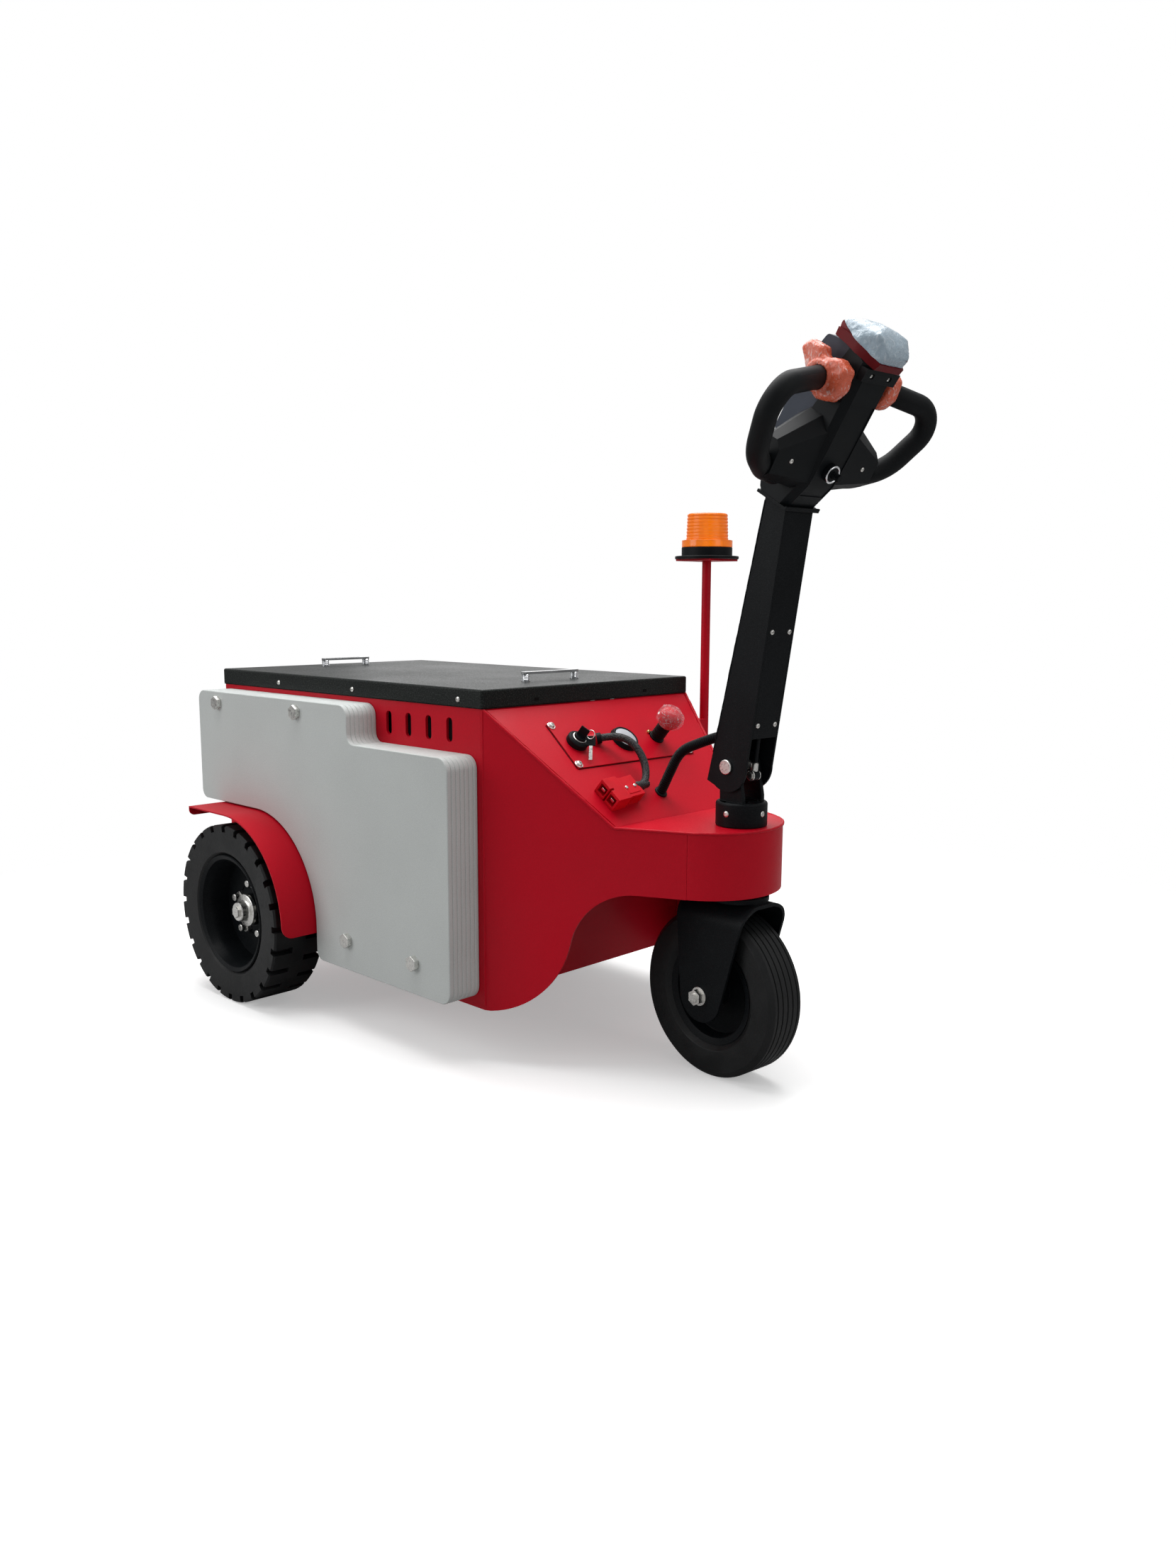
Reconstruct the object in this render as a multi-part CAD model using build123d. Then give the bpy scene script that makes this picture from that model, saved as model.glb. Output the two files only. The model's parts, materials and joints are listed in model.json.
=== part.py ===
from build123d import *
import math
import os

# A three-wheeled pedestrian electric tow tug. Millimetres, +X forward, +Y to the
# vehicle's left, +Z up, ground at z = 0. Everything is drawn with x = 0 at the rear
# axle, and write() moves it so that the origin lies under the middle of its box.
ORIGIN_X = 495.0

# Body: a welded box of sheet with a sloping panel and a low nose
SHEET = 6.0
BODY_REAR, BODY_FRONT = -232.0, 656.0
BODY_HALF = 280.8
BODY_BOTTOM, BODY_TOP = 102.8, 658.0
INNER_HALF = BODY_HALF - SHEET
NOSE_TOP, NOSE_BOTTOM = 461.6, 343.7
CREASE_X = 880.8
NOSE_X, NOSE_R = 943.7, 135.4
SLOPE_T, DECK_T = 5.0, 5.0
SEAT_GAP, RUN_FIT, BOLT_FIT = 0.3, 0.05, 0.3
FLOOR_Z, FLOOR_T, BULKHEAD_X = 300.0, 5.0, 640.0
REAR_BOTTOM, BULKHEAD_BOTTOM = 250.0, 122.8
AXLE_HOLE_R = 45.0
SLOT_W, SLOT_H, SLOT_Z, SLOT_X, SLOT_PITCH, SLOT_COUNT = 17.0, 45.5, 614.5, 381.4, 61.0, 4
CROSS_X, CROSS_LIP, RIB_PITCH, RIB_W = 896.0, 24.0, 26.0, 8.0

# Battery, and the drive under it
BATTERY_REAR, BATTERY_FRONT, BATTERY_HALF, BATTERY_H = -170.0, 590.0, 235.0, 330.0
CASE_R, CASE_HALF, MOTOR_R, MOTOR_Y, MOTOR_REACH = 72.0, 70.0, 62.0, 20.0, 230.0
HANGER_Y, HANGER_W, HANGER_T = 210.0, 70.0, 10.0

# Lid over the battery compartment
LID_TOP, LID_DEPTH, LID_T, LID_FLANGE_T = 692.4, 34.3, 3.0, 2.0
LID_GAP, LID_PLAY = 0.6, 2.7
LID_REAR = BODY_REAR - LID_FLANGE_T - LID_PLAY
LID_FRONT = BODY_FRONT + LID_FLANGE_T + LID_GAP
LID_HALF = BODY_HALF + LID_FLANGE_T + LID_GAP
LIP_TOP = LID_TOP - LID_T - SEAT_GAP
HANDLE_T, HANDLE_W, HANDLE_LIFT, HANDLE_POST_R = 5.0, 14.0, 13.0, 6.0
HANDLE_END = 9.0
# each handle: distance from the lid's front edge, half its length
HANDLES = [(823.6, 66.0), (118.6, 76.0)]

# Rear wheels and drive axle
WHEEL_R, WHEEL_Z, WHEEL_W, WHEEL_GAP = 190.0, 190.0, 115.0, 35.2
WHEEL_OUT = BODY_HALF + WHEEL_GAP + WHEEL_W
RIM_R, HUB_R, RIM_DEPTH = 122.0, 34.0, 84.0
HUB_FACE = WHEEL_OUT - RIM_DEPTH
STUD_CIRCLE, STUD_R, STUD_COUNT, NUT_R, NUT_H = 57.0, 7.0, 5, 12.0, 15.0
AXLE_R, AXLE_FLANGE_R, AXLE_FLANGE_T = 30.0, 58.0, 8.0
LUG_DEPTH, LUG_COUNT, LUG_GAP, LUG_REACH = 14.6, 24, 13.0, 44.0

# Steered front wheel
STEER_X, STEER_REST = 1020.5, -4.35
TRAIL, FRONT_R, FRONT_W, FRONT_RIM_R = 36.5, 153.0, 85.0, 92.0
FRONT_SHOULDER, FRONT_BEAD, FRONT_HUB_R = 9.0, 12.0, 24.0
FRONT_BOLT_R, FRONT_BOLT_HALF, FRONT_NUT_R, FRONT_NUT_H = 8.5, 78.0, 14.5, 12.0
WASHER_R, WASHER_T, HUB_PLAY = 17.0, 3.0, 1.0
FORK_HALF, FORK_T, FORK_TOP, FORK_BEND = 60.0, 6.0, 329.0, 42.0
FORK_EYE_R, FORK_REAR, FORK_NOSE = 48.0, -98.0, 62.0
FLANGE_R, FLANGE_TOP = 52.0, 338.0
SHAFT_R, HOUSING_R = 25.0, 40.0
DISC_R, DISC_BOTTOM, DISC_TOP = 45.2, 462.6, 505.1
YOKE_IN, YOKE_T, YOKE_REAR, YOKE_FRONT, YOKE_EYE_R = 21.0, 8.0, -26.0, 27.0, 22.0

# Tiller arm, hinged on the yoke
PIN_X, PIN_Z, PIN_R, PIN_HEAD_R, PIN_HEAD_T = -5.3, 566.3, 9.0, 13.0, 5.0
ARM_HALF, ARM_T, ARM_EYE_R = 35.1, 4.0, 44.0
ARM_REAR_FOOT, ARM_REAR_TOP = (-50.3, 539.0), (67.5, 1020.0)
ARM_FRONT_TOP = (109.0, 993.0)
ARM_LEAN = math.atan2(
    ARM_REAR_TOP[0] - ARM_REAR_FOOT[0], ARM_REAR_TOP[1] - ARM_REAR_FOOT[1]
)
FLANGE_BACK, FLANGE_HALF, FLANGE_WIDE, FLANGE_T, FLANGE_LIP = 31.0, 38.0, 43.0, 5.0, 7.0
COVER_BOTTOM, COVER_TOP, COVER_T = 618.0, 845.0, 3.0
SPRING_LOW, SPRING_HIGH, PISTON_R, SPRING_R = (26.0, 0, 552.0), (66.0, 0, 860.0), 4.0, 9.0
ARM_ENTRY_Z, ARM_ENTRY_RISE = 618.0, 12.0

# Tiller head, drawn along its own axis: a runs up the head, b out of its front face
HEAD_X, HEAD_Z, HEAD_LEAN = 83.8, 1015.1, 30.0
HEAD_HALF, HEAD_EDGE = 42.0, 11.0
# side view of the head as a, b: its base, its front edge, the edge under the console
BASE_EDGE = [(36, -44), (6, -30), (0, -24)]
FRONT_EDGE = [(0, 32), (34, 46), (46, 51), (62, 53), (103, 56), (217, 61), (246, 66)]
REAR_EDGE = [(74, -50), (98, -39), (122, -16), (142, -1), (168, 6), (225, 12), (262, 24)]
INSET_LOW, INSET_HIGH, INSET_HALF, INSET_DEPTH = 24.0, 183.0, 29.0, 1.4
BRIDGE_LOW, BRIDGE_HIGH, BRIDGE_HALF, BRIDGE_T = 221.0, 241.0, 41.0, 4.5
BRIDGE_SCREW_Y, BRIDGE_SCREW_R = 21.5, 4.5
# the fairings run from the housing out to the lower tubes: y, a from, a to, b from, b to, cut
WINGS = [(30, 28, 158, -24, 49, 22), (126, 45, 106, 2, 44, 12)]
LOCK_A, LOCK_R, LOCK_H, LOCK_STUB_R, LOCK_STUB_H = 72.0, 15.0, 9.0, 6.0, 18.0

# Handle loops: each lies in a plane that sweeps forward away from the head
LOOP_R, LOOP_B, LOOP_SWEEP, LOOP_TILT, LOOP_MIDDLE = 17.5, 27.9, 0.32, 0.06, 130.0
# centre line of a loop: a, y, bend radius
LOOP_KNOTS = [
    (205.4, 36.0, 0),
    (191.1, 214.0, 40.0),
    (82.9, 165.4, 83.0),
    (53.5, 113.1, 70.0),
    (40.4, 60.0, 0),
]
# outline of a thumb rocker seen from the side: a, b, radius
ROCKER = [
    (227, -42, 5),
    (245, -31, 8),
    (244, -2, 9),
    (231, 7, 9),
    (240, 36, 9),
    (230, 58, 9),
    (200, 61, 14),
    (178, 48, 14),
    (172, 20, 12),
    (184, 1, 10),
]
ROCKER_HALF, ROCKER_Y, ROCKER_A, ROCKER_B = 14.0, 61.0, 203.0, 12.0
ROCKER_R, ROCKER_OUT, ROCKER_EDGE = 23.5, 79.0, 5.0

# Safety button over the head's end: a dome on a skirt, drawn in three views
CAP_REAR, CAP_CROWN, CAP_FRONT = (283, -14), (297, 24), (266, 81)
CAP_UNDER = [(244, 66), (262, -8)]
CAP_SKIRT = [(262, -12), (274, -12), (272, 33), (264, 53), (252, 77), (242, 72), (256, 26)]
# half of the dome's plan, its narrow end to the front: y, b
CAP_PLAN = [(38, -18), (43, -9), (43, 34), (35, 58), (26, 77), (20, 88)]
# half of its front view: y, a
CAP_CROSS = [(48, 236), (45, 272), (36, 288), (20, 294), (0, 296)]
CAP_RIM = 3.5

# Mudguards
FENDER_GAP, FENDER_T, FENDER_REAR, FENDER_FLAP = 20.5, 3.0, -147.0, 20.0
FENDER_R = WHEEL_R + FENDER_GAP + FENDER_T
FENDER_FOOT, FENDER_NOSE_R, FENDER_FLAP_R = -4.0, 25.0, 12.0
FENDER_OUT = WHEEL_OUT - 2.0

# Ballast plates hung on both sides
PLATE_T, PLATE_COUNT = 71.0 / 7.0, 7
ARCH_GAP = 3.0
ARCH_R = FENDER_R + ARCH_GAP
PLATE_REAR, PLATE_FRONT, PLATE_TOP, PLATE_BOTTOM = -227.1, 642.1, 648.6, 122.0
PLATE_STEP_X, PLATE_STEP_Z = 340.6, 574.4
BALLAST_OUT = BODY_HALF + PLATE_T * PLATE_COUNT
BOLT_R, BOLT_HEAD_R, BOLT_HEAD, BOLT_NUT_R = 8.0, 15.0, 10.0, 13.5
# the bolts through each stack: x, z
BOLTS = [(-141.8, 624.3), (167.5, 624.3), (327.1, 183.0), (539.9, 183.0)]

# Beacon on its pole
BEACON_X, BEACON_Y, POLE_R, POLE_BOTTOM, POLE_TOP = 687.7, 305.8, 9.3, 480.0, 929.0
BEACON_PLATE, BEACON_PLATE_T = 90.0, 4.0
BRACKET_LOW, BRACKET_HIGH, BRACKET_H, BRACKET_W = 500.0, 580.0, 24.0, 18.0
BEACON_FOOT_R, BEACON_FOOT_H, BEACON_R, BEACON_BASE_H = 65.5, 6.0, 52.0, 18.0
LENS_RING_H, LENS_R, LENS_TOP_R, LENS_H, LENS_RIBS, LENS_RIB = 14.0, 43.5, 41.5, 54.0, 8, 1.2

# Controls on the slope: s runs down it and y across
PANEL_S, PANEL_LONG, PANEL_WIDE, PANEL_T = 107.0, 110.0, 324.0, 3.0
KEY_S, KEY_Y, KEY_R, KEY_H, KEY_BARREL_R, KEY_BARREL_H = 103.8, -124.1, 21.0, 13.0, 12.0, 6.0
KEY_BOW_W, KEY_BOW_T, KEY_BOW_H = 18.0, 3.0, 20.0
GAUGE_S, GAUGE_Y, GAUGE_R, GAUGE_H, GAUGE_GLASS_R = 110.0, 0.0, 30.0, 9.0, 23.0
STOP_S, STOP_Y, STOP_NECK_R, STOP_NECK_H = 113.3, 89.9, 13.5, 34.0
# the stop button's head turned about its axis: radius, height over the neck
STOP_HEAD = [(15, 0), (18, 6), (22.5, 14), (22.5, 23), (18, 32), (0, 38)]
PLUG_S, PLUG_Y, PLUG_TURN, PLUG_LONG = 236.0, -118.5, 4.9, 80.0
PLUG_COLLAR, PLUG_COLLAR_W, PLUG_COLLAR_H = 36.0, 52.0, 29.0
PLUG_BODY_W, PLUG_BODY_H, PLUG_MOUTH, PLUG_MOUTH_DEPTH = 45.0, 25.0, 17.0, 18.0
PLUG_POLE, GRIP_COUNT, GRIP_PITCH, GRIP_W, GRIP_DEPTH = 12.7, 6, 5.6, 2.6, 1.6

# Cords and the places where they pass the panel
CONDUIT_R, CONDUIT_UP, CONDUIT_Y, CONDUIT_LEAN = 9.0, 56.5096, -5.0, 13.0
LEAD_R, LEAD_S, LEAD_Y, LEAD_H = 7.0, 105.0, -76.0, 9.5
BOSS_R, BOSS_LONG = 10.5, 18.0
CORD_SHARE = 0.45

# Tow hitch on the rear plate: a shelf with a pin that stands up for the drawbar's eye
HITCH_X, HITCH_REACH, HITCH_HALF, HITCH_PLATE = -285.0, 88.0, 45.0, 12.0
HITCH_LOW, HITCH_BACK_T, HITCH_BACK_HALF = 290.0, 10.0, 70.0
HITCH_BACK_LOW, HITCH_BACK_TOP = 255.0, 400.0
TOW_PIN_R, TOW_PIN_FREE, TOW_PIN_TIP = 12.5, 70.0, 4.0
TOW_COLLAR_R, TOW_COLLAR_H, TOW_SPIGOT_R = 20.0, 8.0, 10.0
TOW_NUT_R, TOW_NUT_H, RIB_Y, RIB_T = 17.0, 14.0, 34.0, 8.0

TAPER_RUN = math.hypot(NOSE_X - BODY_FRONT, BODY_HALF)
TAPER_LEN = math.sqrt(TAPER_RUN**2 - NOSE_R**2)
TAPER = math.atan2(BODY_HALF, NOSE_X - BODY_FRONT) - math.asin(NOSE_R / TAPER_RUN)
SLOPE_FALL = (BODY_TOP - NOSE_TOP) / (CREASE_X - BODY_FRONT)
SLOPE_LONG = math.hypot(BODY_TOP - NOSE_TOP, CREASE_X - BODY_FRONT)
CONDUIT_S = SLOPE_LONG - CONDUIT_UP
SLOPE = Plane(
    origin=(BODY_FRONT, 0, BODY_TOP),
    x_dir=(1, 0, -SLOPE_FALL),
    z_dir=(SLOPE_FALL, 0, 1),
)


def box(x0, x1, y0, y1, z0, z1):
    """A box between two corners."""
    centre = Pos((x0 + x1) / 2, (y0 + y1) / 2, (z0 + z1) / 2)
    return centre * Box(x1 - x0, y1 - y0, z1 - z0)


def rod(radius, start, end):
    """A round bar from one point to another."""
    start, end = Vector(*start), Vector(*end)
    along = Plane(origin=start, z_dir=end - start)
    return extrude(along * Circle(radius), amount=(end - start).length)


def rounded(corners):
    """A flat face whose corners, each (x, y, radius), are rounded by tangent arcs."""
    pieces, last = [], None
    count = len(corners)
    ends = []
    for i, (x, y, radius) in enumerate(corners):
        here = Vector(x, y)
        back = (Vector(*corners[i - 1][:2]) - here).normalized()
        ahead = (Vector(*corners[(i + 1) % count][:2]) - here).normalized()
        if radius == 0:
            ends.append((here, None, here))
            continue
        half = math.acos(max(-1, min(1, back.dot(ahead)))) / 2
        run = radius / math.tan(half)
        middle = (back + ahead).normalized()
        crown = here + middle * (radius / math.sin(half) - radius)
        ends.append((here + back * run, crown, here + ahead * run))
    last = ends[-1][2]
    for start, crown, end in ends:
        if (start - last).length > 0.001:
            pieces.append(Line(last, start))
        if crown is not None:
            pieces.append(ThreePointArc(start, crown, end))
        last = end
    return make_face(Wire(pieces))


def slab(face, y0, y1):
    """A plate with the given XZ outline, between two y planes."""
    return Pos(0, y1, 0) * extrude(Plane.XZ * face, amount=y1 - y0, dir=(0, -1, 0))


def polygon(*points):
    """A flat face with straight sides."""
    return rounded([(x, y, 0) for x, y in points])


def mirrored(shape):
    """The shape with its twin across the middle plane."""
    return [shape, mirror(shape, about=Plane.XZ)]


def joined(*shapes):
    """One solid, or several, from overlapping shapes."""
    total = shapes[0]
    for shape in shapes[1:]:
        total = total + shape
    return total


def steered(shape):
    """Move a piece drawn about the steering axis to its place, at its rest angle."""
    return Pos(STEER_X, 0, 0) * Rot(0, 0, STEER_REST) * shape


def head_xz(a, b):
    """Where a point of the tiller head's own side view lies in the XZ plane."""
    lean = math.radians(HEAD_LEAN)
    x = HEAD_X + a * math.sin(lean) + b * math.cos(lean)
    z = HEAD_Z + a * math.cos(lean) - b * math.sin(lean)
    return x, z


def head_slab(corners, half):
    """A plate of the head with the given (a, b) outline, y from -half to half."""
    return slab(rounded([(*head_xz(a, b), r) for a, b, r in corners]), -half, half)


def head_plane(a, b, y=0.0):
    """A plane facing out of the head's front face, its x along y, its y up the head."""
    lean = math.radians(HEAD_LEAN)
    x, z = head_xz(a, b)
    return Plane(
        origin=(x, y, z),
        x_dir=(0, 1, 0),
        z_dir=(math.cos(lean), 0, -math.sin(lean)),
    )


def write(name, *shapes):
    """Write one node's solids."""
    solids = [s for shape in shapes for s in shape.solids()]
    moved = [Pos(-ORIGIN_X, 0, 0) * s for s in solids]
    whole = moved[0] if len(moved) == 1 else Compound(children=moved)
    export_step(whole, f"parts/{name}.step")


# ---------------------------------------------------------------- body
def inner_half(x):
    """Half the width between the walls at x."""
    taper = BODY_HALF - SHEET / math.cos(TAPER) - (x - BODY_FRONT) * math.tan(TAPER)
    return min(INNER_HALF, taper)


def side_plate():
    """The right wall: flat plate with air slots, bent in along the tapering nose."""
    wall = rounded(
        [
            (BODY_REAR, BODY_BOTTOM, 12),
            (BODY_FRONT, BODY_BOTTOM, 0),
            (BODY_FRONT, BODY_TOP, 0),
            (LID_FRONT - 12, LIP_TOP, 0),
            (BODY_REAR, LIP_TOP, 0),
        ]
    )
    flat = slab(wall, -BODY_HALF, -INNER_HALF)
    for i in range(SLOT_COUNT):
        slot = SlotCenterToCenter(SLOT_H - SLOT_W, SLOT_W, rotation=90)
        hole = Pos(SLOT_X + i * SLOT_PITCH, SLOT_Z) * slot
        flat -= slab(hole, -BODY_HALF - 1, -INNER_HALF + 1)
    for x, z in BOLTS:
        hole_r = BOLT_R + BOLT_FIT
        flat -= rod(hole_r, (x, -BODY_HALF - 1, z), (x, -INNER_HALF + 1, z))
    flat -= rod(AXLE_HOLE_R, (0, -BODY_HALF - 1, WHEEL_Z), (0, -INNER_HALF + 1, WHEEL_Z))

    crease = (CREASE_X - BODY_FRONT) / math.cos(TAPER)
    edge = [
        Line((0, BODY_TOP), (crease, NOSE_TOP)),
        Line((crease, NOSE_TOP), (TAPER_LEN, NOSE_TOP)),
        Line((TAPER_LEN, NOSE_TOP), (TAPER_LEN, NOSE_BOTTOM)),
        Line((TAPER_LEN, NOSE_BOTTOM), (290, NOSE_BOTTOM)),
        ThreePointArc((290, NOSE_BOTTOM), (205, 311), (167, 243)),
        ThreePointArc((167, 243), (116, 152), (12, BODY_BOTTOM)),
        Line((12, BODY_BOTTOM), (0, BODY_BOTTOM)),
        Line((0, BODY_BOTTOM), (0, BODY_TOP)),
    ]
    along = Plane(
        origin=(BODY_FRONT, -BODY_HALF, 0),
        x_dir=(math.cos(TAPER), math.sin(TAPER), 0),
        z_dir=(math.sin(TAPER), -math.cos(TAPER), 0),
    )
    inward = (-math.sin(TAPER), math.cos(TAPER), 0)
    taper = extrude(along * make_face(Wire(edge)), amount=SHEET, dir=inward)
    return flat + taper


def plan_prism(x0, x1, z0, z1):
    """What lies between the walls, from x0 to x1."""
    knee = BODY_FRONT
    xs = [x0] + ([knee] if x0 < knee < x1 else []) + [x1]
    right = [(x, -inner_half(x)) for x in xs]
    left = [(x, inner_half(x)) for x in reversed(xs)]
    return Pos(0, 0, z0) * extrude(polygon(*right, *left), amount=z1 - z0, dir=(0, 0, 1))


def body_frame():
    """Rear plate, battery floor and front bulkhead, welded between the walls."""
    half, front = INNER_HALF, BULKHEAD_X
    rear_plate = box(BODY_REAR, BODY_REAR + SHEET, -half, half, REAR_BOTTOM, LIP_TOP)
    floor = box(BODY_REAR, front, -half, half, FLOOR_Z, FLOOR_Z + FLOOR_T)
    bulkhead = box(front, front + SHEET, -half, half, BULKHEAD_BOTTOM, LIP_TOP)
    return joined(rear_plate, floor, bulkhead)


def slope_panel():
    """The sloping panel that carries the controls, with the conduit's hole."""
    drop = SLOPE_T * math.hypot(1, SLOPE_FALL)
    bend = CREASE_X - (BODY_TOP - SLOPE_T - NOSE_TOP + drop) / SLOPE_FALL
    side = polygon(
        (BULKHEAD_X + SHEET, BODY_TOP),
        (BODY_FRONT, BODY_TOP),
        (CREASE_X, NOSE_TOP),
        (CREASE_X, NOSE_TOP - drop),
        (bend, BODY_TOP - SLOPE_T),
        (BULKHEAD_X + SHEET, BODY_TOP - SLOPE_T),
    )
    panel = slab(side, -INNER_HALF, INNER_HALF) & plan_prism(640, CREASE_X, 300, 700)
    tilt = Rot(0, -CONDUIT_LEAN, 0)
    hole = on_slope(CONDUIT_S, CONDUIT_Y) * tilt * Cylinder(CONDUIT_R + SEAT_GAP, 8 * SLOPE_T)
    return panel - hole


def nose_shell():
    """Nose deck and the band bent round the nose."""
    half = inner_half(CREASE_X)
    touch = math.radians(90) - TAPER
    inner_r = NOSE_R - SHEET
    tip = (NOSE_X + inner_r * math.cos(touch), inner_r * math.sin(touch))
    edge = [
        Line((CREASE_X, -half), (tip[0], -tip[1])),
        ThreePointArc((tip[0], -tip[1]), (NOSE_X + inner_r, 0), tip),
        Line(tip, (CREASE_X, half)),
        Line((CREASE_X, half), (CREASE_X, -half)),
    ]
    deck = extrude(make_face(Wire(edge)), amount=DECK_T, dir=(0, 0, 1))
    deck = Pos(0, 0, NOSE_TOP - DECK_T) * deck
    ring = Circle(NOSE_R) - Circle(inner_r)
    cut = math.degrees(touch)
    wedge = Polyline(
        (0, 0),
        (300 * math.cos(math.radians(cut)), -300 * math.sin(math.radians(cut))),
        (700, 0),
        (300 * math.cos(math.radians(cut)), 300 * math.sin(math.radians(cut))),
        close=True,
    )
    band = ring & make_face(wedge)
    band = extrude(Pos(NOSE_X, 0) * band, amount=NOSE_TOP - NOSE_BOTTOM, dir=(0, 0, 1))
    band = Pos(0, 0, NOSE_BOTTOM) * band
    hole = Pos(STEER_X, 0, NOSE_TOP) * Cylinder(HOUSING_R - 10, 40)
    return deck + band - hole


def steering_housing():
    """Bearing tube under the deck, with its cross plate and ribs."""
    top = NOSE_TOP - DECK_T
    tube = rod(HOUSING_R, (STEER_X, 0, NOSE_BOTTOM), (STEER_X, 0, top))
    front = CROSS_X + SHEET
    cross = plan_prism(CROSS_X, front, NOSE_BOTTOM, top)
    lip = plan_prism(CROSS_X - CROSS_LIP, front, NOSE_BOTTOM, NOSE_BOTTOM + SHEET)
    ribs = [
        box(front - 2, STEER_X - 20, y - RIB_W / 2, y + RIB_W / 2, NOSE_BOTTOM + 4, top)
        for y in (-RIB_PITCH, RIB_PITCH)
    ]
    bore = rod(SHAFT_R + RUN_FIT, (STEER_X, 0, 300), (STEER_X, 0, 500))
    return joined(tube, cross, lip, *ribs) - bore


def battery():
    """The traction battery, one plain block on the floor."""
    base = FLOOR_Z + FLOOR_T
    half = BATTERY_HALF
    return box(BATTERY_REAR, BATTERY_FRONT, -half, half, base, base + BATTERY_H)


def drive_axle():
    """Axle tube, final drive and motor in one block, hung under the floor."""
    end = HUB_FACE - SEAT_GAP
    tube = rod(AXLE_R, (0, -end, WHEEL_Z), (0, end, WHEEL_Z))
    case = rod(CASE_R, (0, -CASE_HALF, WHEEL_Z), (0, CASE_HALF, WHEEL_Z))
    motor = rod(MOTOR_R, (0, MOTOR_Y, WHEEL_Z), (MOTOR_REACH, MOTOR_Y, WHEEL_Z))
    wide, thick = HANGER_W / 2, HANGER_T / 2
    hangers = [
        box(-wide, wide, y - thick, y + thick, WHEEL_Z - 10, FLOOR_Z)
        for y in (-HANGER_Y, HANGER_Y)
    ]
    inner = end - AXLE_FLANGE_T
    flanges = [
        rod(AXLE_FLANGE_R, (0, s * inner, WHEEL_Z), (0, s * end, WHEEL_Z)) for s in (-1, 1)
    ]
    return joined(tube, case, motor, *hangers, *flanges)


def fender():
    """Right mudguard: a curved strip with a turned-down rear edge and rounded corners."""
    inner = FENDER_R - FENDER_T
    foot = math.radians(FENDER_FOOT)
    turn = (math.radians(90) + foot) / 2
    low = WHEEL_Z + FENDER_R - FENDER_FLAP
    top, under = WHEEL_Z + FENDER_R, WHEEL_Z + inner
    rear = FENDER_REAR + FENDER_T

    def rim(radius, angle):
        return (radius * math.cos(angle), WHEEL_Z + radius * math.sin(angle))

    edge = [
        Line((FENDER_REAR, top), (0, top)),
        ThreePointArc((0, top), rim(FENDER_R, turn), rim(FENDER_R, foot)),
        Line(rim(FENDER_R, foot), rim(inner, foot)),
        ThreePointArc(rim(inner, foot), rim(inner, turn), (0, under)),
        Line((0, under), (rear, under)),
        Line((rear, under), (rear, low)),
        Line((rear, low), (FENDER_REAR, low)),
        Line((FENDER_REAR, low), (FENDER_REAR, top)),
    ]
    strip = slab(make_face(Wire(edge)), -FENDER_OUT, -BODY_HALF)
    outer = [e for e in strip.edges() if abs(e.center().Y + FENDER_OUT) < 0.01]
    ends = [e for e in outer if abs(e.length - FENDER_T) < 0.01]
    nose = [e for e in ends if e.center().X > 0]
    flap = [e for e in ends if e.center().X < 0 and abs(e.center().Z - low) < 0.01]
    strip = fillet(nose, FENDER_NOSE_R)
    flap = [
        e
        for e in strip.edges()
        if abs(e.center().Y + FENDER_OUT) < 0.01 and abs(e.center().Z - low) < 0.01
    ]
    return fillet(flap, FENDER_FLAP_R)


def ballast_face():
    """Outline of one ballast plate, with its wheel arch and front notch."""
    arch_top = WHEEL_Z + ARCH_R
    return rounded(
        [
            (PLATE_REAR, arch_top, 20),
            (ARCH_R, arch_top, ARCH_R),
            (ARCH_R, PLATE_BOTTOM, 20),
            (PLATE_FRONT, PLATE_BOTTOM, 25),
            (PLATE_FRONT, PLATE_STEP_Z, 25),
            (PLATE_STEP_X, PLATE_STEP_Z, 20),
            (PLATE_STEP_X, PLATE_TOP, 25),
            (PLATE_REAR, PLATE_TOP, 22),
        ]
    )


def ballast_plates(first):
    """Every second plate of both stacks, from the given one outwards."""
    face = ballast_face()
    for x, z in BOLTS:
        face -= Pos(x, z) * Circle(BOLT_R + BOLT_FIT)
    plates = []
    for i in range(first, PLATE_COUNT, 2):
        inner = BODY_HALF + i * PLATE_T
        plates += mirrored(slab(face, -inner - PLATE_T, -inner))
    return plates


def ballast_bolts():
    """Hexagon bolts through the stacks, with their nuts inside the walls."""
    bolts = []
    for x, z in BOLTS:
        head = extrude(
            Plane(origin=(x, -BALLAST_OUT, z), z_dir=(0, -1, 0))
            * RegularPolygon(BOLT_HEAD_R, 6),
            amount=BOLT_HEAD,
        )
        nut = extrude(
            Plane(origin=(x, -INNER_HALF, z), z_dir=(0, 1, 0))
            * RegularPolygon(BOLT_NUT_R, 6),
            amount=BOLT_HEAD,
        )
        shank = rod(BOLT_R, (x, -BALLAST_OUT - 2, z), (x, BOLT_HEAD + 4 - INNER_HALF, z))
        bolts += mirrored(joined(head, nut, shank))
    return bolts


# ---------------------------------------------------------------- lid
def lid():
    """Lift-off lid: a flat tray, open downwards."""
    low = LID_TOP - LID_DEPTH
    shell = box(LID_REAR, LID_FRONT, -LID_HALF, LID_HALF, low, LID_TOP)
    shell = fillet(shell.edges().filter_by(Axis.Z), 5)
    shell = fillet(shell.faces().sort_by(Axis.Z)[-1].edges(), 4)
    t = LID_FLANGE_T
    room = box(LID_REAR + t, LID_FRONT - t, t - LID_HALF, LID_HALF - t, 0, LID_TOP - LID_T)
    room = fillet(room.edges().filter_by(Axis.Z), 2)
    return shell - room


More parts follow.
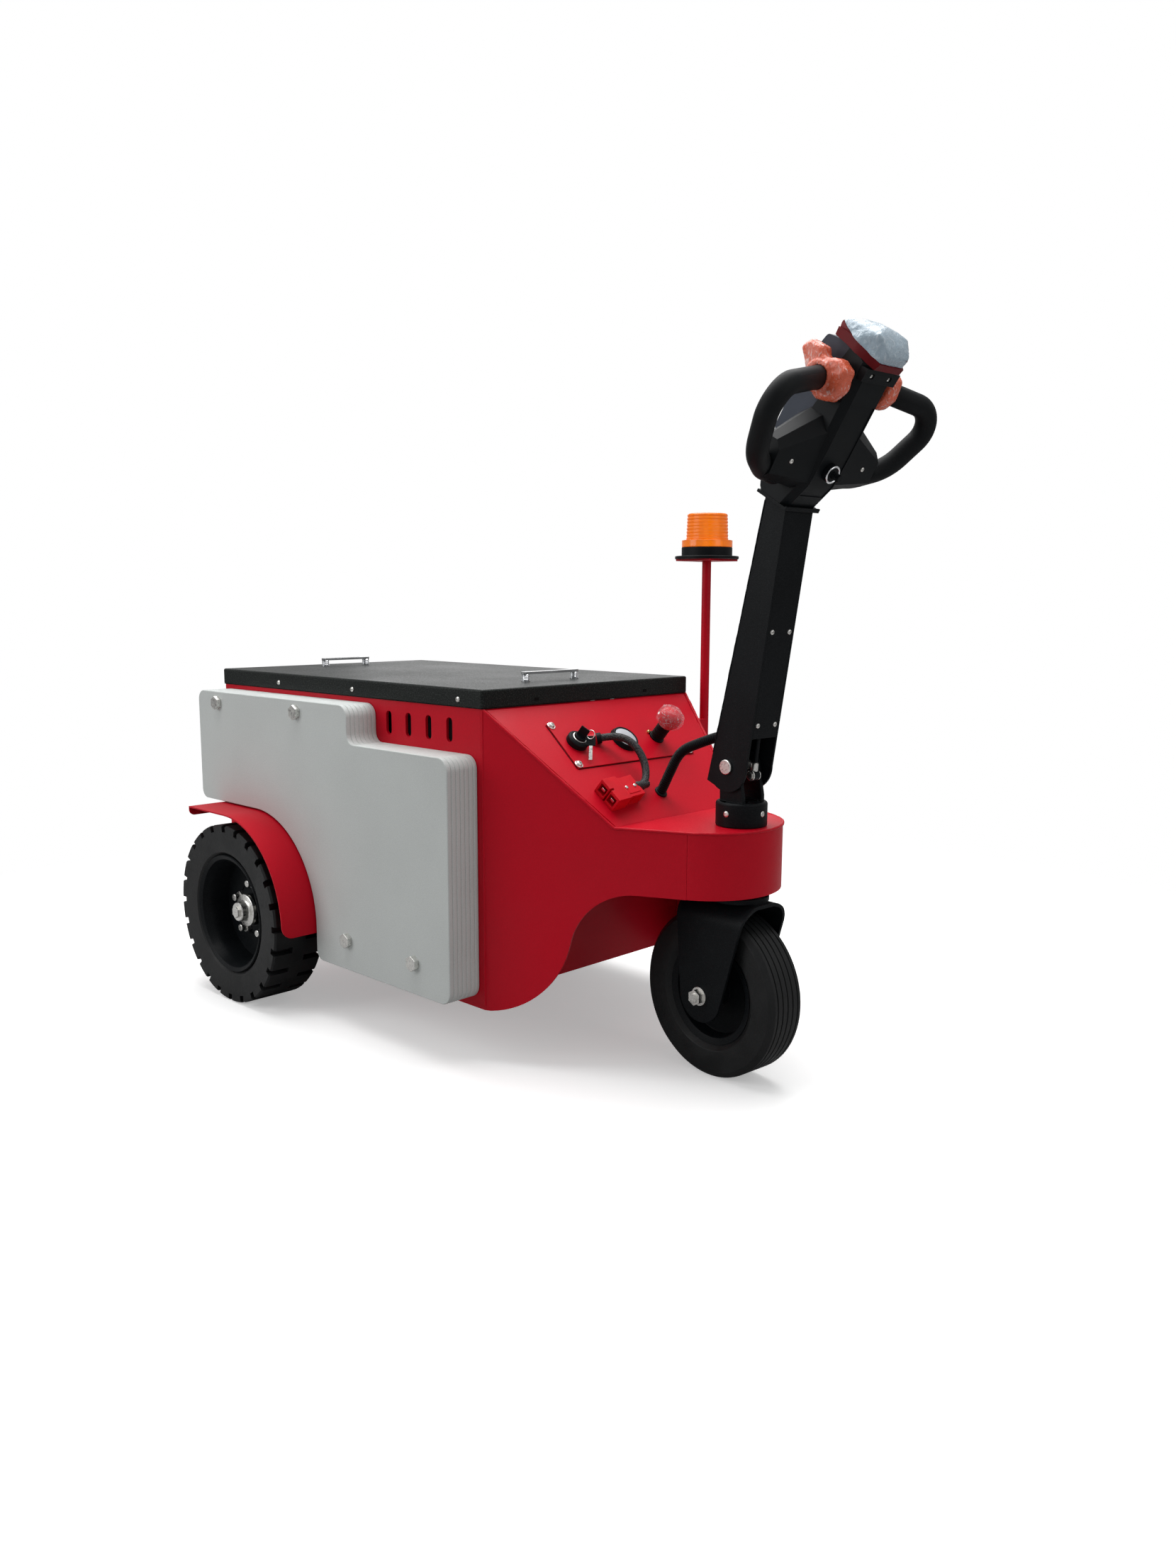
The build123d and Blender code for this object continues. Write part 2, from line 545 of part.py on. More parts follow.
def lid_handles():
    """Two flat bar handles, each on two round posts."""
    handles = []
    for back, half in HANDLES:
        x = LID_FRONT - back
        bar_z = LID_TOP + HANDLE_LIFT
        bar = box(x - HANDLE_W / 2, x + HANDLE_W / 2, -half, half, bar_z, bar_z + HANDLE_T)
        bar = fillet(bar.edges().filter_by(Axis.Z), HANDLE_W / 2 - 0.5)
        posts = [
            rod(HANDLE_POST_R, (x, y, LID_TOP), (x, y, bar_z + 1))
            for y in (HANDLE_END - half, half - HANDLE_END)
        ]
        handles.append(joined(bar, *posts))
    return handles


# ---------------------------------------------------------------- controls
def on_slope(s, y, h=0.0):
    """A place on the sloping panel: down the slope, across, and out of it."""
    return SLOPE * Pos(s, y, h)


def lead_end(depth):
    """A place on the line by which the lead leaves its slanting boss."""
    way = Vector(0.36, 0.72, 0.59).normalized() * depth
    return slope_point(LEAD_S + way.X, LEAD_Y + way.Y, LEAD_H + way.Z)


def control_panel():
    """Thin plate over the controls' cut-outs, with the boss that the lead comes out of."""
    plate = on_slope(PANEL_S, 0, PANEL_T / 2) * Box(PANEL_LONG, PANEL_WIDE, PANEL_T)
    boss = rod(BOSS_R, lead_end(-BOSS_LONG), lead_end(0))
    above = on_slope(LEAD_S, LEAD_Y, BOSS_LONG) * Box(60, 60, 2 * BOSS_LONG)
    return plate + (boss & above)


def key_switch():
    """Key switch with its key."""
    h = PANEL_T + KEY_H
    bezel = Cylinder(KEY_R, KEY_H)
    bezel = chamfer(bezel.edges().group_by(Axis.Z)[-1], 3)
    bezel = on_slope(KEY_S, KEY_Y, PANEL_T + KEY_H / 2) * bezel
    barrel = on_slope(KEY_S, KEY_Y, h + KEY_BARREL_H / 2) * Cylinder(KEY_BARREL_R, KEY_BARREL_H)
    key = on_slope(KEY_S, KEY_Y, h + KEY_BARREL_H + KEY_BOW_H / 2 - 1)
    key = key * Rot(0, 0, 30) * Box(KEY_BOW_W, KEY_BOW_T, KEY_BOW_H)
    return joined(bezel, barrel, key)


def battery_gauge():
    """Round battery gauge: a sloping bezel round a sunk glass."""
    bezel = on_slope(GAUGE_S, GAUGE_Y, PANEL_T) * Pos(0, 0, GAUGE_H / 2)
    ring = bezel * Cone(GAUGE_R, GAUGE_R - 4, GAUGE_H)
    glass = bezel * Pos(0, 0, GAUGE_H / 2) * Cylinder(GAUGE_GLASS_R, 4)
    return ring - glass


def emergency_stop():
    """Mushroom stop button on its neck."""
    place = on_slope(STOP_S, STOP_Y, PANEL_T)
    neck = place * Pos(0, 0, STOP_NECK_H / 2) * Cylinder(STOP_NECK_R, STOP_NECK_H)
    corners = [(r, STOP_NECK_H + h - 0.5) for r, h in STOP_HEAD]
    section = polygon((0, corners[0][1]), *corners)
    head = place * revolve(Plane.XZ * section, axis=Axis.Z)
    return neck + head


def power_connector():
    """Two-pole battery connector lying on the slope: collar, two mouths, ribbed grip."""
    place = on_slope(PLUG_S, PLUG_Y) * Rot(0, 0, PLUG_TURN)
    front, rear = -PLUG_LONG / 2, PLUG_LONG / 2
    neck = front + PLUG_COLLAR
    collar = box(-PLUG_COLLAR_W / 2, PLUG_COLLAR_W / 2, front, neck, 0, PLUG_COLLAR_H)
    body = box(-PLUG_BODY_W / 2, PLUG_BODY_W / 2, neck - 1, rear, 0, PLUG_BODY_H)
    plug = collar + body
    for x in (-PLUG_POLE, PLUG_POLE):
        half, mid = PLUG_MOUTH / 2, PLUG_COLLAR_H / 2
        plug -= box(x - half, x + half, front - 1, front + PLUG_MOUTH_DEPTH, mid - half, mid + half)
    plug -= box(-2, 2, front - 1, front + 9, -1, PLUG_COLLAR_H + 1)
    for i in range(GRIP_COUNT):
        y = rear - 5 - i * GRIP_PITCH
        for side in (-1, 1):
            face = side * PLUG_BODY_W / 2
            x0, x1 = sorted((face, face - side * GRIP_DEPTH))
            plug -= box(x0, x1, y - GRIP_W, y, 3, PLUG_BODY_H - 4)
    return place * plug


# ---------------------------------------------------------------- beacon
def beacon_pole():
    """Pole with its top plate and the brackets that hold it to the wall."""
    x, y, half = BEACON_X, BEACON_Y, BEACON_PLATE / 2
    pole = rod(POLE_R, (x, y, POLE_BOTTOM), (x, y, POLE_TOP))
    plate = box(x - half, x + half, y - half, y + half, POLE_TOP, POLE_TOP + BEACON_PLATE_T)
    wall = BODY_HALF - (x - BODY_FRONT) * math.tan(TAPER)
    wide = BRACKET_W / 2
    arms = [
        box(x - wide, x + wide, wall - 12, y, z, z + BRACKET_H)
        for z in (BRACKET_LOW, BRACKET_HIGH)
    ]
    block = joined(*arms) & outside_left()
    return joined(pole, plate, block)


def outside_left():
    """Everything outboard of the left wall's tapering part."""
    run = math.tan(TAPER)
    near, far = BODY_FRONT - 40, BODY_FRONT + 200
    edge = polygon(
        (near, BODY_HALF + 40 * run),
        (far, BODY_HALF - 200 * run),
        (far, 600),
        (near, 600),
    )
    return extrude(edge, amount=1200, dir=(0, 0, 1))


def beacon_place(height):
    """A place on the beacon's axis, over the pole's plate."""
    return Pos(BEACON_X, BEACON_Y, POLE_TOP + BEACON_PLATE_T + height)


def beacon_base():
    """Black foot and base of the lamp."""
    foot = beacon_place(BEACON_FOOT_H / 2) * Cylinder(BEACON_FOOT_R, BEACON_FOOT_H)
    base = beacon_place(BEACON_FOOT_H + BEACON_BASE_H / 2) * Cylinder(BEACON_R, BEACON_BASE_H)
    return foot + base


def beacon_lens():
    """Amber ring and ribbed lens."""
    low = BEACON_FOOT_H + BEACON_BASE_H
    ring = beacon_place(low + LENS_RING_H / 2) * Cylinder(BEACON_R, LENS_RING_H)
    pitch = LENS_H / LENS_RIBS
    side = [(0, 0)]
    for i in range(LENS_RIBS):
        radius = LENS_R + (LENS_TOP_R - LENS_R) * i / LENS_RIBS
        side.append((radius - LENS_RIB, i * pitch))
        side.append((radius, (i + 0.5) * pitch))
    side += [(LENS_TOP_R - 2, LENS_H), (0, LENS_H)]
    lens = revolve(Plane.XZ * polygon(*side), axis=Axis.Z)
    return ring + beacon_place(low + LENS_RING_H - 0.5) * lens


# ---------------------------------------------------------------- wheels
def spun(face):
    """A solid of revolution about Y from a face drawn as radius and y."""
    return revolve(face, axis=Axis.Y)


def rear_tyre():
    """Solid tyre, its tread cut from both shoulders into staggered lugs."""
    half = WHEEL_W / 2
    floor = WHEEL_R - LUG_DEPTH
    right = [(RIM_R, 14 - half), (RIM_R + 10, 4 - half), (WHEEL_R - 3, -half)]
    right.append((WHEEL_R, 4 - half))
    tyre = spun(polygon(*right, *[(r, -y) for r, y in reversed(right)]))
    pitch = 360.0 / LUG_COUNT
    cut = Pos(floor + 20, LUG_REACH / 2, 0) * Box(40, LUG_REACH, LUG_GAP)
    for side, shift in ((-1, 0.0), (1, pitch / 2)):
        edge = -half - 1 if side < 0 else half + 1 - LUG_REACH
        cuts = [
            Rot(0, i * pitch + shift, 0) * Pos(0, edge, 0) * cut for i in range(LUG_COUNT)
        ]
        tyre -= cuts
    return tyre


def rear_rim():
    """Rim with its dished disc, hub, axle end and wheel nuts, outer side at -Y."""
    half = WHEEL_W / 2
    section = polygon(
        (RIM_R, 12 - half),
        (RIM_R + 4, 7 - half),
        (RIM_R + 2, 4 - half),
        (RIM_R - 6, 8 - half),
        (RIM_R - 14, 30 - half),
        (RIM_R - 16, 66 - half),
        (62, 70 - half),
        (60, 76 - half),
        (20, 76 - half),
        (20, RIM_DEPTH - half),
        (RIM_R - 12, RIM_DEPTH - half),
        (RIM_R - 8, half - 6),
        (RIM_R + 2, half - 4),
        (RIM_R, half - 12),
    )
    rim = spun(section)
    hub = rod(HUB_R, (0, 70 - half, 0), (0, 44 - half, 0))
    flange = rod(44, (0, 78 - half, 0), (0, 64 - half, 0))
    end = rod(20, (0, 46 - half, 0), (0, 26 - half, 0))
    studs = []
    for i in range(STUD_COUNT):
        turn = math.radians(90 + 360 * i / STUD_COUNT)
        x, z = STUD_CIRCLE * math.cos(turn), STUD_CIRCLE * math.sin(turn)
        studs.append(rod(STUD_R, (x, 78 - half, z), (x, 50 - half, z)))
        face = Plane(origin=(x, 78 - half, z), z_dir=(0, -1, 0))
        studs.append(extrude(face * RegularPolygon(NUT_R, 6), amount=NUT_H))
    core = rod(60, (0, 70 - half, 0), (0, RIM_DEPTH - half, 0))
    return joined(rim, core, flange, hub, end, *studs)


def rear_wheel_place(shape, side):
    """Put a rear wheel piece, drawn for the right side, on its own side."""
    if side > 0:
        shape = mirror(shape, about=Plane.XZ)
    return Pos(0, side * (WHEEL_OUT - WHEEL_W / 2), WHEEL_Z) * shape


def front_tyre():
    """Round-shouldered tyre of the steered wheel."""
    half = FRONT_W / 2
    bead, shoulder = FRONT_BEAD, FRONT_SHOULDER
    right = [(FRONT_RIM_R, bead - half), (FRONT_RIM_R + bead, 2 - half)]
    right += [(FRONT_R - 30, -half), (FRONT_R - shoulder, -half), (FRONT_R, shoulder - half)]
    return spun(polygon(*right, *[(r, -y) for r, y in reversed(right)]))


def front_rim():
    """Rim and hub of the steered wheel."""
    half = FRONT_W / 2
    bore = FRONT_BOLT_R + RUN_FIT
    end = FORK_HALF - FORK_T - HUB_PLAY
    bead = FRONT_BEAD - half
    right = [(bore, -end), (FRONT_HUB_R, -end), (FRONT_HUB_R + 2, -8), (FRONT_RIM_R - 14, -8)]
    right += [(FRONT_RIM_R - 10, bead), (FRONT_RIM_R + 3, bead - 4), (FRONT_RIM_R, bead)]
    return spun(polygon(*right, *[(r, -y) for r, y in reversed(right)]))


def front_place(shape):
    """Put a piece drawn about the front axle in place."""
    return steered(Pos(-TRAIL, 0, FRONT_R) * shape)


def front_axle():
    """Axle bolt with a nut and washer outside each cheek."""
    bolt = rod(FRONT_BOLT_R, (0, -FRONT_BOLT_HALF, 0), (0, FRONT_BOLT_HALF, 0))
    ends = []
    for s in (-1, 1):
        seat = s * (FORK_HALF + WASHER_T)
        washer = rod(WASHER_R, (0, s * FORK_HALF, 0), (0, seat, 0))
        out = Plane(origin=(0, seat, 0), z_dir=(0, s, 0))
        ends += [washer, extrude(out * RegularPolygon(FRONT_NUT_R, 6), amount=FRONT_NUT_H)]
    return joined(bolt, *ends)


def fork():
    """Bent plate fork with its top flange."""
    inner = FORK_HALF - FORK_T
    arch = rounded(
        [
            (-FORK_HALF, 60, 0),
            (-FORK_HALF, FORK_TOP, FORK_BEND),
            (FORK_HALF, FORK_TOP, FORK_BEND),
            (FORK_HALF, 60, 0),
            (inner, 60, 0),
            (inner, FORK_TOP - FORK_T, FORK_BEND - FORK_T),
            (-inner, FORK_TOP - FORK_T, FORK_BEND - FORK_T),
            (-inner, 60, 0),
        ]
    )
    bent = Pos(150, 0, 0) * extrude(Plane.YZ * arch, amount=300, dir=(-1, 0, 0))
    eye = Pos(-TRAIL, FRONT_R) * Circle(FORK_EYE_R)
    top = polygon(
        (FORK_REAR, FORK_TOP - 10),
        (FORK_REAR, FORK_TOP + 1),
        (FORK_NOSE, FORK_TOP + 1),
        (FORK_NOSE, FORK_TOP - 10),
    )
    outline = make_hull(eye.edges() + top.edges())
    bent = bent & slab(outline, -100, 100)
    flange = rod(FLANGE_R, (0, 0, FORK_TOP), (0, 0, FLANGE_TOP))
    bore = rod(FRONT_BOLT_R + RUN_FIT, (-TRAIL, -100, FRONT_R), (-TRAIL, 100, FRONT_R))
    return steered(bent + flange - bore)


# ---------------------------------------------------------------- tiller
def tiller_yoke():
    """Steering shaft, its collar on the deck and the two ears that carry the arm."""
    shaft = rod(SHAFT_R, (0, 0, FLANGE_TOP), (0, 0, DISC_TOP - 5))
    disc = rod(DISC_R, (0, 0, DISC_BOTTOM), (0, 0, DISC_TOP))
    disc = chamfer(disc.edges().sort_by(Axis.Z)[-1], 3)
    eye = Pos(PIN_X, PIN_Z) * Circle(YOKE_EYE_R)
    foot = polygon(
        (YOKE_REAR, DISC_TOP - 2),
        (YOKE_FRONT, DISC_TOP - 2),
        (YOKE_FRONT, DISC_TOP + 10),
        (YOKE_REAR, DISC_TOP + 10),
    )
    ear = make_hull(eye.edges() + foot.edges())
    ears = [
        slab(ear, y, y + YOKE_T) for y in (YOKE_IN, -YOKE_IN - YOKE_T)
    ]
    bore = rod(PIN_R + RUN_FIT, (PIN_X, -60, PIN_Z), (PIN_X, 60, PIN_Z))
    return steered(joined(disc, shaft, *ears) - bore)


def tiller_pin():
    """Hinge pin of the arm."""
    pin = rod(PIN_R, (PIN_X, -ARM_HALF - 4, PIN_Z), (PIN_X, ARM_HALF + 4, PIN_Z))
    heads = [
        rod(PIN_HEAD_R, (PIN_X, s * ARM_HALF, PIN_Z), (PIN_X, s * (ARM_HALF + PIN_HEAD_T), PIN_Z))
        for s in (-1, 1)
    ]
    return steered(joined(pin, *heads))


def arm_front(z):
    """The arm's front edge at a height."""
    run = ARM_FRONT_TOP[0] - (PIN_X + ARM_EYE_R)
    return PIN_X + ARM_EYE_R + (z - PIN_Z) * run / (ARM_FRONT_TOP[1] - PIN_Z)


def arm_outline():
    """Side view of the arm, its lower end round the pin."""
    start = math.radians(232)
    middle = math.radians(300)
    foot = (PIN_X + ARM_EYE_R * math.cos(start), PIN_Z + ARM_EYE_R * math.sin(start))
    low = (PIN_X + ARM_EYE_R * math.cos(middle), PIN_Z + ARM_EYE_R * math.sin(middle))
    front = (PIN_X + ARM_EYE_R, PIN_Z)
    return make_face(
        Wire(
            [
                Line(ARM_REAR_FOOT, foot),
                ThreePointArc(foot, low, front),
                Line(front, ARM_FRONT_TOP),
                Line(ARM_FRONT_TOP, ARM_REAR_TOP),
                Line(ARM_REAR_TOP, ARM_REAR_FOOT),
            ]
        )
    )


def arm_gap():
    """The hollow of the arm, open below and along the front up to the upper web."""
    t = ARM_T
    return polygon(
        (ARM_REAR_FOOT[0] + t, 500),
        (ARM_REAR_FOOT[0] + t * 1.03, ARM_REAR_FOOT[1]),
        (ARM_REAR_TOP[0] + t * 1.03, ARM_REAR_TOP[1]),
        (ARM_REAR_TOP[0] + t * 1.03, 1060),
        (ARM_FRONT_TOP[0] - t, 1060),
        (ARM_FRONT_TOP[0] - t, ARM_FRONT_TOP[1]),
        (arm_front(COVER_TOP) - t, COVER_TOP),
        (arm_front(COVER_TOP) + 40, COVER_TOP),
        (120, 500),
    )


def tiller_arm():
    """Welded channel of sheet with its sloping top flange, turned up at both ends."""
    arm = slab(arm_outline(), -ARM_HALF, ARM_HALF)
    arm -= slab(arm_gap(), ARM_T - ARM_HALF, ARM_HALF - ARM_T)
    half, back = FLANGE_HALF, -FLANGE_BACK
    top = [(0, back, 0), (0, half, 0), (-FLANGE_T, half, 0), (-FLANGE_T, back, 0)]
    arm = arm + head_slab(top, FLANGE_WIDE)
    lip = [(FLANGE_LIP - FLANGE_T, half, 0), (-FLANGE_T, half, 0)]
    lip += [(-FLANGE_T, half - 3, 0), (FLANGE_LIP - FLANGE_T, half - 3, 0)]
    arm = arm + head_slab(lip, FLANGE_WIDE)
    bore = rod(PIN_R + RUN_FIT, (PIN_X, -60, PIN_Z), (PIN_X, 60, PIN_Z))
    entry = rod(CONDUIT_R + SEAT_GAP, arm_entry(-20), arm_entry(20))
    return steered(arm - bore - entry)


def arm_entry(depth):
    """A place on the rising line by which the conduit enters the arm's rear web."""
    x = ARM_REAR_FOOT[0] + (ARM_ENTRY_Z - ARM_REAR_FOOT[1]) * math.tan(ARM_LEAN)
    rise = math.radians(ARM_ENTRY_RISE)
    return (x + depth * math.cos(rise), 0, ARM_ENTRY_Z + depth * math.sin(rise))


def tiller_cover():
    """Screwed cover plate between the arm's cheeks."""
    t = COVER_T
    side = polygon(
        (arm_front(COVER_BOTTOM) - t, COVER_BOTTOM),
        (arm_front(COVER_BOTTOM), COVER_BOTTOM),
        (arm_front(COVER_TOP), COVER_TOP),
        (arm_front(COVER_TOP) - t, COVER_TOP),
    )
    half = ARM_HALF - ARM_T
    return steered(slab(side, -half, half))


def gas_spring():
    """Gas spring inside the arm, from its foot by the yoke to the upper pin."""
    low, high, half = SPRING_LOW, SPRING_HIGH, ARM_HALF - ARM_T
    run = [b - a for a, b in zip(low, high)]
    at = lambda k: tuple(a + k * r for a, r in zip(low, run))
    piston = rod(PISTON_R, low, at(0.5))
    case = rod(SPRING_R, at(0.35), at(0.96))
    eye = rod(SPRING_R, (low[0], -7, low[2]), (low[0], 7, low[2]))
    pin = rod(PISTON_R + 1, (high[0], -half, high[2]), (high[0], half, high[2]))
    neck = rod(PISTON_R + 1, at(0.9), high)
    return steered(joined(piston, case, eye, neck, pin))


# ---------------------------------------------------------------- tiller head
def head_shell():
    """Moulded housing of the head: bevelled front, sunk panel, screwed bridge, fairings."""
    inner = HEAD_HALF - HEAD_EDGE
    rows = [(-HEAD_HALF, HEAD_EDGE), (-inner, 0), (inner, 0), (HEAD_HALF, HEAD_EDGE)]
    shell = loft([head_side(y, drop) for y, drop in rows], ruled=True)
    bridge = [(BRIDGE_LOW, 55, 0), (BRIDGE_LOW, 61 + BRIDGE_T, 0)]
    bridge += [(BRIDGE_HIGH, 64 + BRIDGE_T, 0), (BRIDGE_HIGH, 55, 0)]
    shell = shell + head_slab(bridge, BRIDGE_HALF)
    for side in (-1, 1):
        wing = loft([head_octagon(side * y, *rest) for y, *rest in WINGS], ruled=True)
        shell = shell + wing
    edge = [(INSET_LOW, 42.0), *FRONT_EDGE[1:5], (INSET_HIGH, 59.5)]
    sunk = [(a, b - INSET_DEPTH, 0) for a, b in edge]
    sunk += [(INSET_HIGH, 80, 0), (INSET_LOW, 80, 0)]
    shell = shell - head_slab(sunk, INSET_HALF)
    place = head_plane((BRIDGE_LOW + BRIDGE_HIGH) / 2, 62 + BRIDGE_T)
    for y in (-BRIDGE_SCREW_Y, BRIDGE_SCREW_Y):
        shell = shell - place * Pos(y, 0, 0) * Cylinder(BRIDGE_SCREW_R, 6)
    return shell


def head_side(y, drop):
    """The head's side view in the plane at y, its front edge set back."""
    corners = BASE_EDGE + [(a, b - drop) for a, b in FRONT_EDGE] + REAR_EDGE[::-1]
    face = polygon(*[head_xz(a, b) for a, b in corners])
    return Pos(0, y, 0) * (Plane.XZ * face)


def head_octagon(y, a0, a1, b0, b1, cut):
    """A cross-section of a fairing in the plane at y, its corners cut off."""
    corners = [(a0 + cut, b0), (a1 - cut, b0), (a1, b0 + cut), (a1, b1 - cut)]
    corners += [(a1 - cut, b1), (a0 + cut, b1), (a0, b1 - cut), (a0, b0 + cut)]
    face = polygon(*[head_xz(a, b) for a, b in corners])
    return Pos(0, y, 0) * (Plane.XZ * face)


def head_console():
    """Grey raised console on the rear of the head."""
    corners = [(a, b, 0) for a, b in REAR_EDGE]
    corners += [(256, -36, 10), (229, -48, 0), (150, -62, 0), (96, -66, 8)]
    wide = HEAD_HALF - 2
    plan = [(-wide, -40), (wide, -40), (wide, 0), (23, 75), (-23, 75), (-wide, 0)]
    return head_slab(corners, 60) & head_column([(y, -b) for y, b in plan])


def loop_path(side):
    """Centre line of one handle loop, in its forward-swept plane."""
    points = []
    for a, y, radius in LOOP_KNOTS:
        b = LOOP_B + LOOP_SWEEP * (y - LOOP_MIDDLE) + LOOP_TILT * (a - LOOP_MIDDLE)
        points.append(head_plane(a, b, side * y).origin)
    return FilletPolyline(*points, radius=[knot[2] for knot in LOOP_KNOTS[1:-1]])


def handle_loops():
    """Both closed handle loops."""
    loops = []
    for side in (-1, 1):
        path = loop_path(side)
        section = Plane(origin=path @ 0, z_dir=path % 0) * Circle(LOOP_R)
        loops.append(sweep(section, path=path))
    return loops


def butterfly_grips():
    """Two thumb rockers beside the head, each a moulded wing on a barrel."""
    grips = []
    for side in (-1, 1):
        inner = head_plane(ROCKER_A, ROCKER_B, side * (HEAD_HALF + SEAT_GAP)).origin
        outer = head_plane(ROCKER_A, ROCKER_B, side * ROCKER_OUT).origin
        barrel = rod(ROCKER_R, tuple(inner), tuple(outer))
        wing = head_slab(ROCKER, ROCKER_HALF)
        ends = [e for e in wing.edges() if abs(abs(e.center().Y) - ROCKER_HALF) < 0.01]
        wing = chamfer(ends, ROCKER_EDGE)
        grips.append(barrel + Pos(0, side * ROCKER_Y, 0) * wing)
    return grips


def head_column(points):
    """A prism up the head through a plan given as y, b."""
    base = head_plane(60, 0)
    plan = Plane(origin=base.origin, x_dir=(0, 1, 0), z_dir=base.y_dir)
    face = plan * polygon(*[(y, -b) for y, b in points])
    return extrude(face, amount=260, dir=tuple(base.y_dir))


def both_sides(points, wider=0.0):
    """A closed outline from the points of one half, the other half mirrored."""
    right = [(x + wider, y) for x, y in points if x > 0]
    crown = [(x, y) for x, y in points if x == 0]
    return right + crown + [(-x, y) for x, y in reversed(right)]


def belly_button():
    """Safety button over the head's upper end: a crowned dome on a wider skirt."""
    rear, crown, front = [head_xz(*p) for p in (CAP_REAR, CAP_CROWN, CAP_FRONT)]
    low_front, low_rear = [head_xz(*p) for p in CAP_UNDER]
    side = make_face(
        Wire(
            [
                Line(low_rear, rear),
                ThreePointArc(rear, crown, front),
                Line(front, low_front),
                Line(low_front, low_rear),
            ]
        )
    )
    cross = head_plane(0, -60) * polygon(*both_sides(CAP_CROSS))
    dome = slab(side, -60, 60) & head_column(both_sides(CAP_PLAN)) & extrude(cross, amount=200)
    skirt = head_slab([(a, b, 0) for a, b in CAP_SKIRT], 60)
    return dome + (skirt & head_column(both_sides(CAP_PLAN, CAP_RIM)))


def head_lock():
    """Ringed lock on the head's front face."""
    face = head_plane(LOCK_A, 53)
    ring = face * Pos(0, 0, LOCK_H / 2) * Cylinder(LOCK_R, LOCK_H)
    stub = face * Pos(0, 0, LOCK_H + LOCK_STUB_H / 2 - 1) * Cylinder(LOCK_STUB_R, LOCK_STUB_H)
    return ring + stub


# ---------------------------------------------------------------- hitch
def tow_hitch():
    """Back plate with a shelf on two ribs, bored for the pin."""
    tip, plate = BODY_REAR - HITCH_REACH, BODY_REAR - HITCH_BACK_T
    half, low = HITCH_BACK_HALF, HITCH_BACK_LOW
    back = box(plate, BODY_REAR, -half, half, low, HITCH_BACK_TOP)
    shelf = rounded(
        [
            (plate + 1, -HITCH_HALF, 0),
            (plate + 1, HITCH_HALF, 0),
            (tip, HITCH_HALF, 26),
            (tip, -HITCH_HALF, 26),
        ]
    )
    shelf = Pos(0, 0, HITCH_LOW) * extrude(shelf, amount=HITCH_PLATE, dir=(0, 0, 1))
    rib = polygon(
        (plate + 1, low),
        (plate + 1, HITCH_LOW + 1),
        (tip + 20, HITCH_LOW + 1),
        (tip + 20, HITCH_LOW - 6),
    )
    ribs = [slab(rib, y - RIB_T / 2, y + RIB_T / 2) for y in (-RIB_Y, RIB_Y)]
    bore = rod(TOW_SPIGOT_R + SEAT_GAP, (HITCH_X, 0, low - 50), (HITCH_X, 0, HITCH_BACK_TOP))
    return joined(back, shelf, *ribs) - bore


def hitch_pin():
    """Upright tow pin: its collar on the shelf, its spigot and nut below."""
    seat = HITCH_LOW + HITCH_PLATE
    top = seat + TOW_COLLAR_H + TOW_PIN_FREE
    pin = rod(TOW_PIN_R, (HITCH_X, 0, seat), (HITCH_X, 0, top))
    pin = chamfer(pin.edges().sort_by(Axis.Z)[-1], TOW_PIN_TIP)
    collar = rod(TOW_COLLAR_R, (HITCH_X, 0, seat), (HITCH_X, 0, seat + TOW_COLLAR_H))
    spigot = rod(TOW_SPIGOT_R, (HITCH_X, 0, HITCH_LOW - TOW_NUT_H - 6), (HITCH_X, 0, seat))
    under = Plane(origin=(HITCH_X, 0, HITCH_LOW), z_dir=(0, 0, -1))
    nut = extrude(under * RegularPolygon(TOW_NUT_R, 6), amount=TOW_NUT_H)
    return joined(pin, collar, spigot, nut)


# ---------------------------------------------------------------- cords
def cord(route, radius):
    """A tube along straight runs joined by arcs, each as large as its runs allow."""
    points = [Vector(*p) for p in route]
    radii = []
    for a, b, c in zip(points, points[1:], points[2:]):
        turn = math.radians((b - a).get_angle(c - b))
        run = min((b - a).length, (c - b).length)
        radii.append(CORD_SHARE * run / math.tan(turn / 2))
    print("bend radii", [round(r, 1) for r in radii])
    path = FilletPolyline(*points, radius=radii)
    section = Plane(origin=path @ 0, z_dir=path % 0) * Circle(radius)
    return sweep(section, path=path)


def slope_point(s, y, h):
    """World coordinates of a place over the sloping panel."""
    p = on_slope(s, y, h).position
    return (p.X, p.Y, p.Z)


def steered_point(place):
    """World coordinates of a place given about the steering axis."""
    p = steered(Pos(*place)).position
    return (p.X, p.Y, p.Z)


def connector_lead():
    """Sleeved lead from the connector up to the panel's boss."""
    turn = math.radians(PLUG_TURN)
    end = PLUG_LONG / 2
    wire_s, wire_y = PLUG_S - end * math.sin(turn), PLUG_Y + end * math.cos(turn)
    first = 27.3
    route = [
        slope_point(wire_s, wire_y, 14),
        slope_point(wire_s - first * math.sin(turn), wire_y + first * math.cos(turn), 14),
        slope_point(207, -33, 24),
        slope_point(178, -30, 36),
        slope_point(150, -38, 42),
        slope_point(128, -48, 36),
        lead_end(20),
        lead_end(0),
    ]
    return cord(route, LEAD_R)


def conduit_exit(depth):
    """A place on the line by which the conduit leaves the sloping panel."""
    tilt = Rot(0, -CONDUIT_LEAN, 0)
    p = (on_slope(CONDUIT_S, CONDUIT_Y) * tilt * Pos(0, 0, depth)).position
    return (p.X, p.Y, p.Z)


def conduit():
    """Corrugated conduit from the slope to the tiller arm."""
    route = [
        conduit_exit(-SLOPE_T),
        conduit_exit(44),
        (882, -3.5, 580),
        (926, -1.5, 598),
        steered_point(arm_entry(-24)),
        steered_point(arm_entry(ARM_T)),
    ]
    return cord(route, CONDUIT_R)


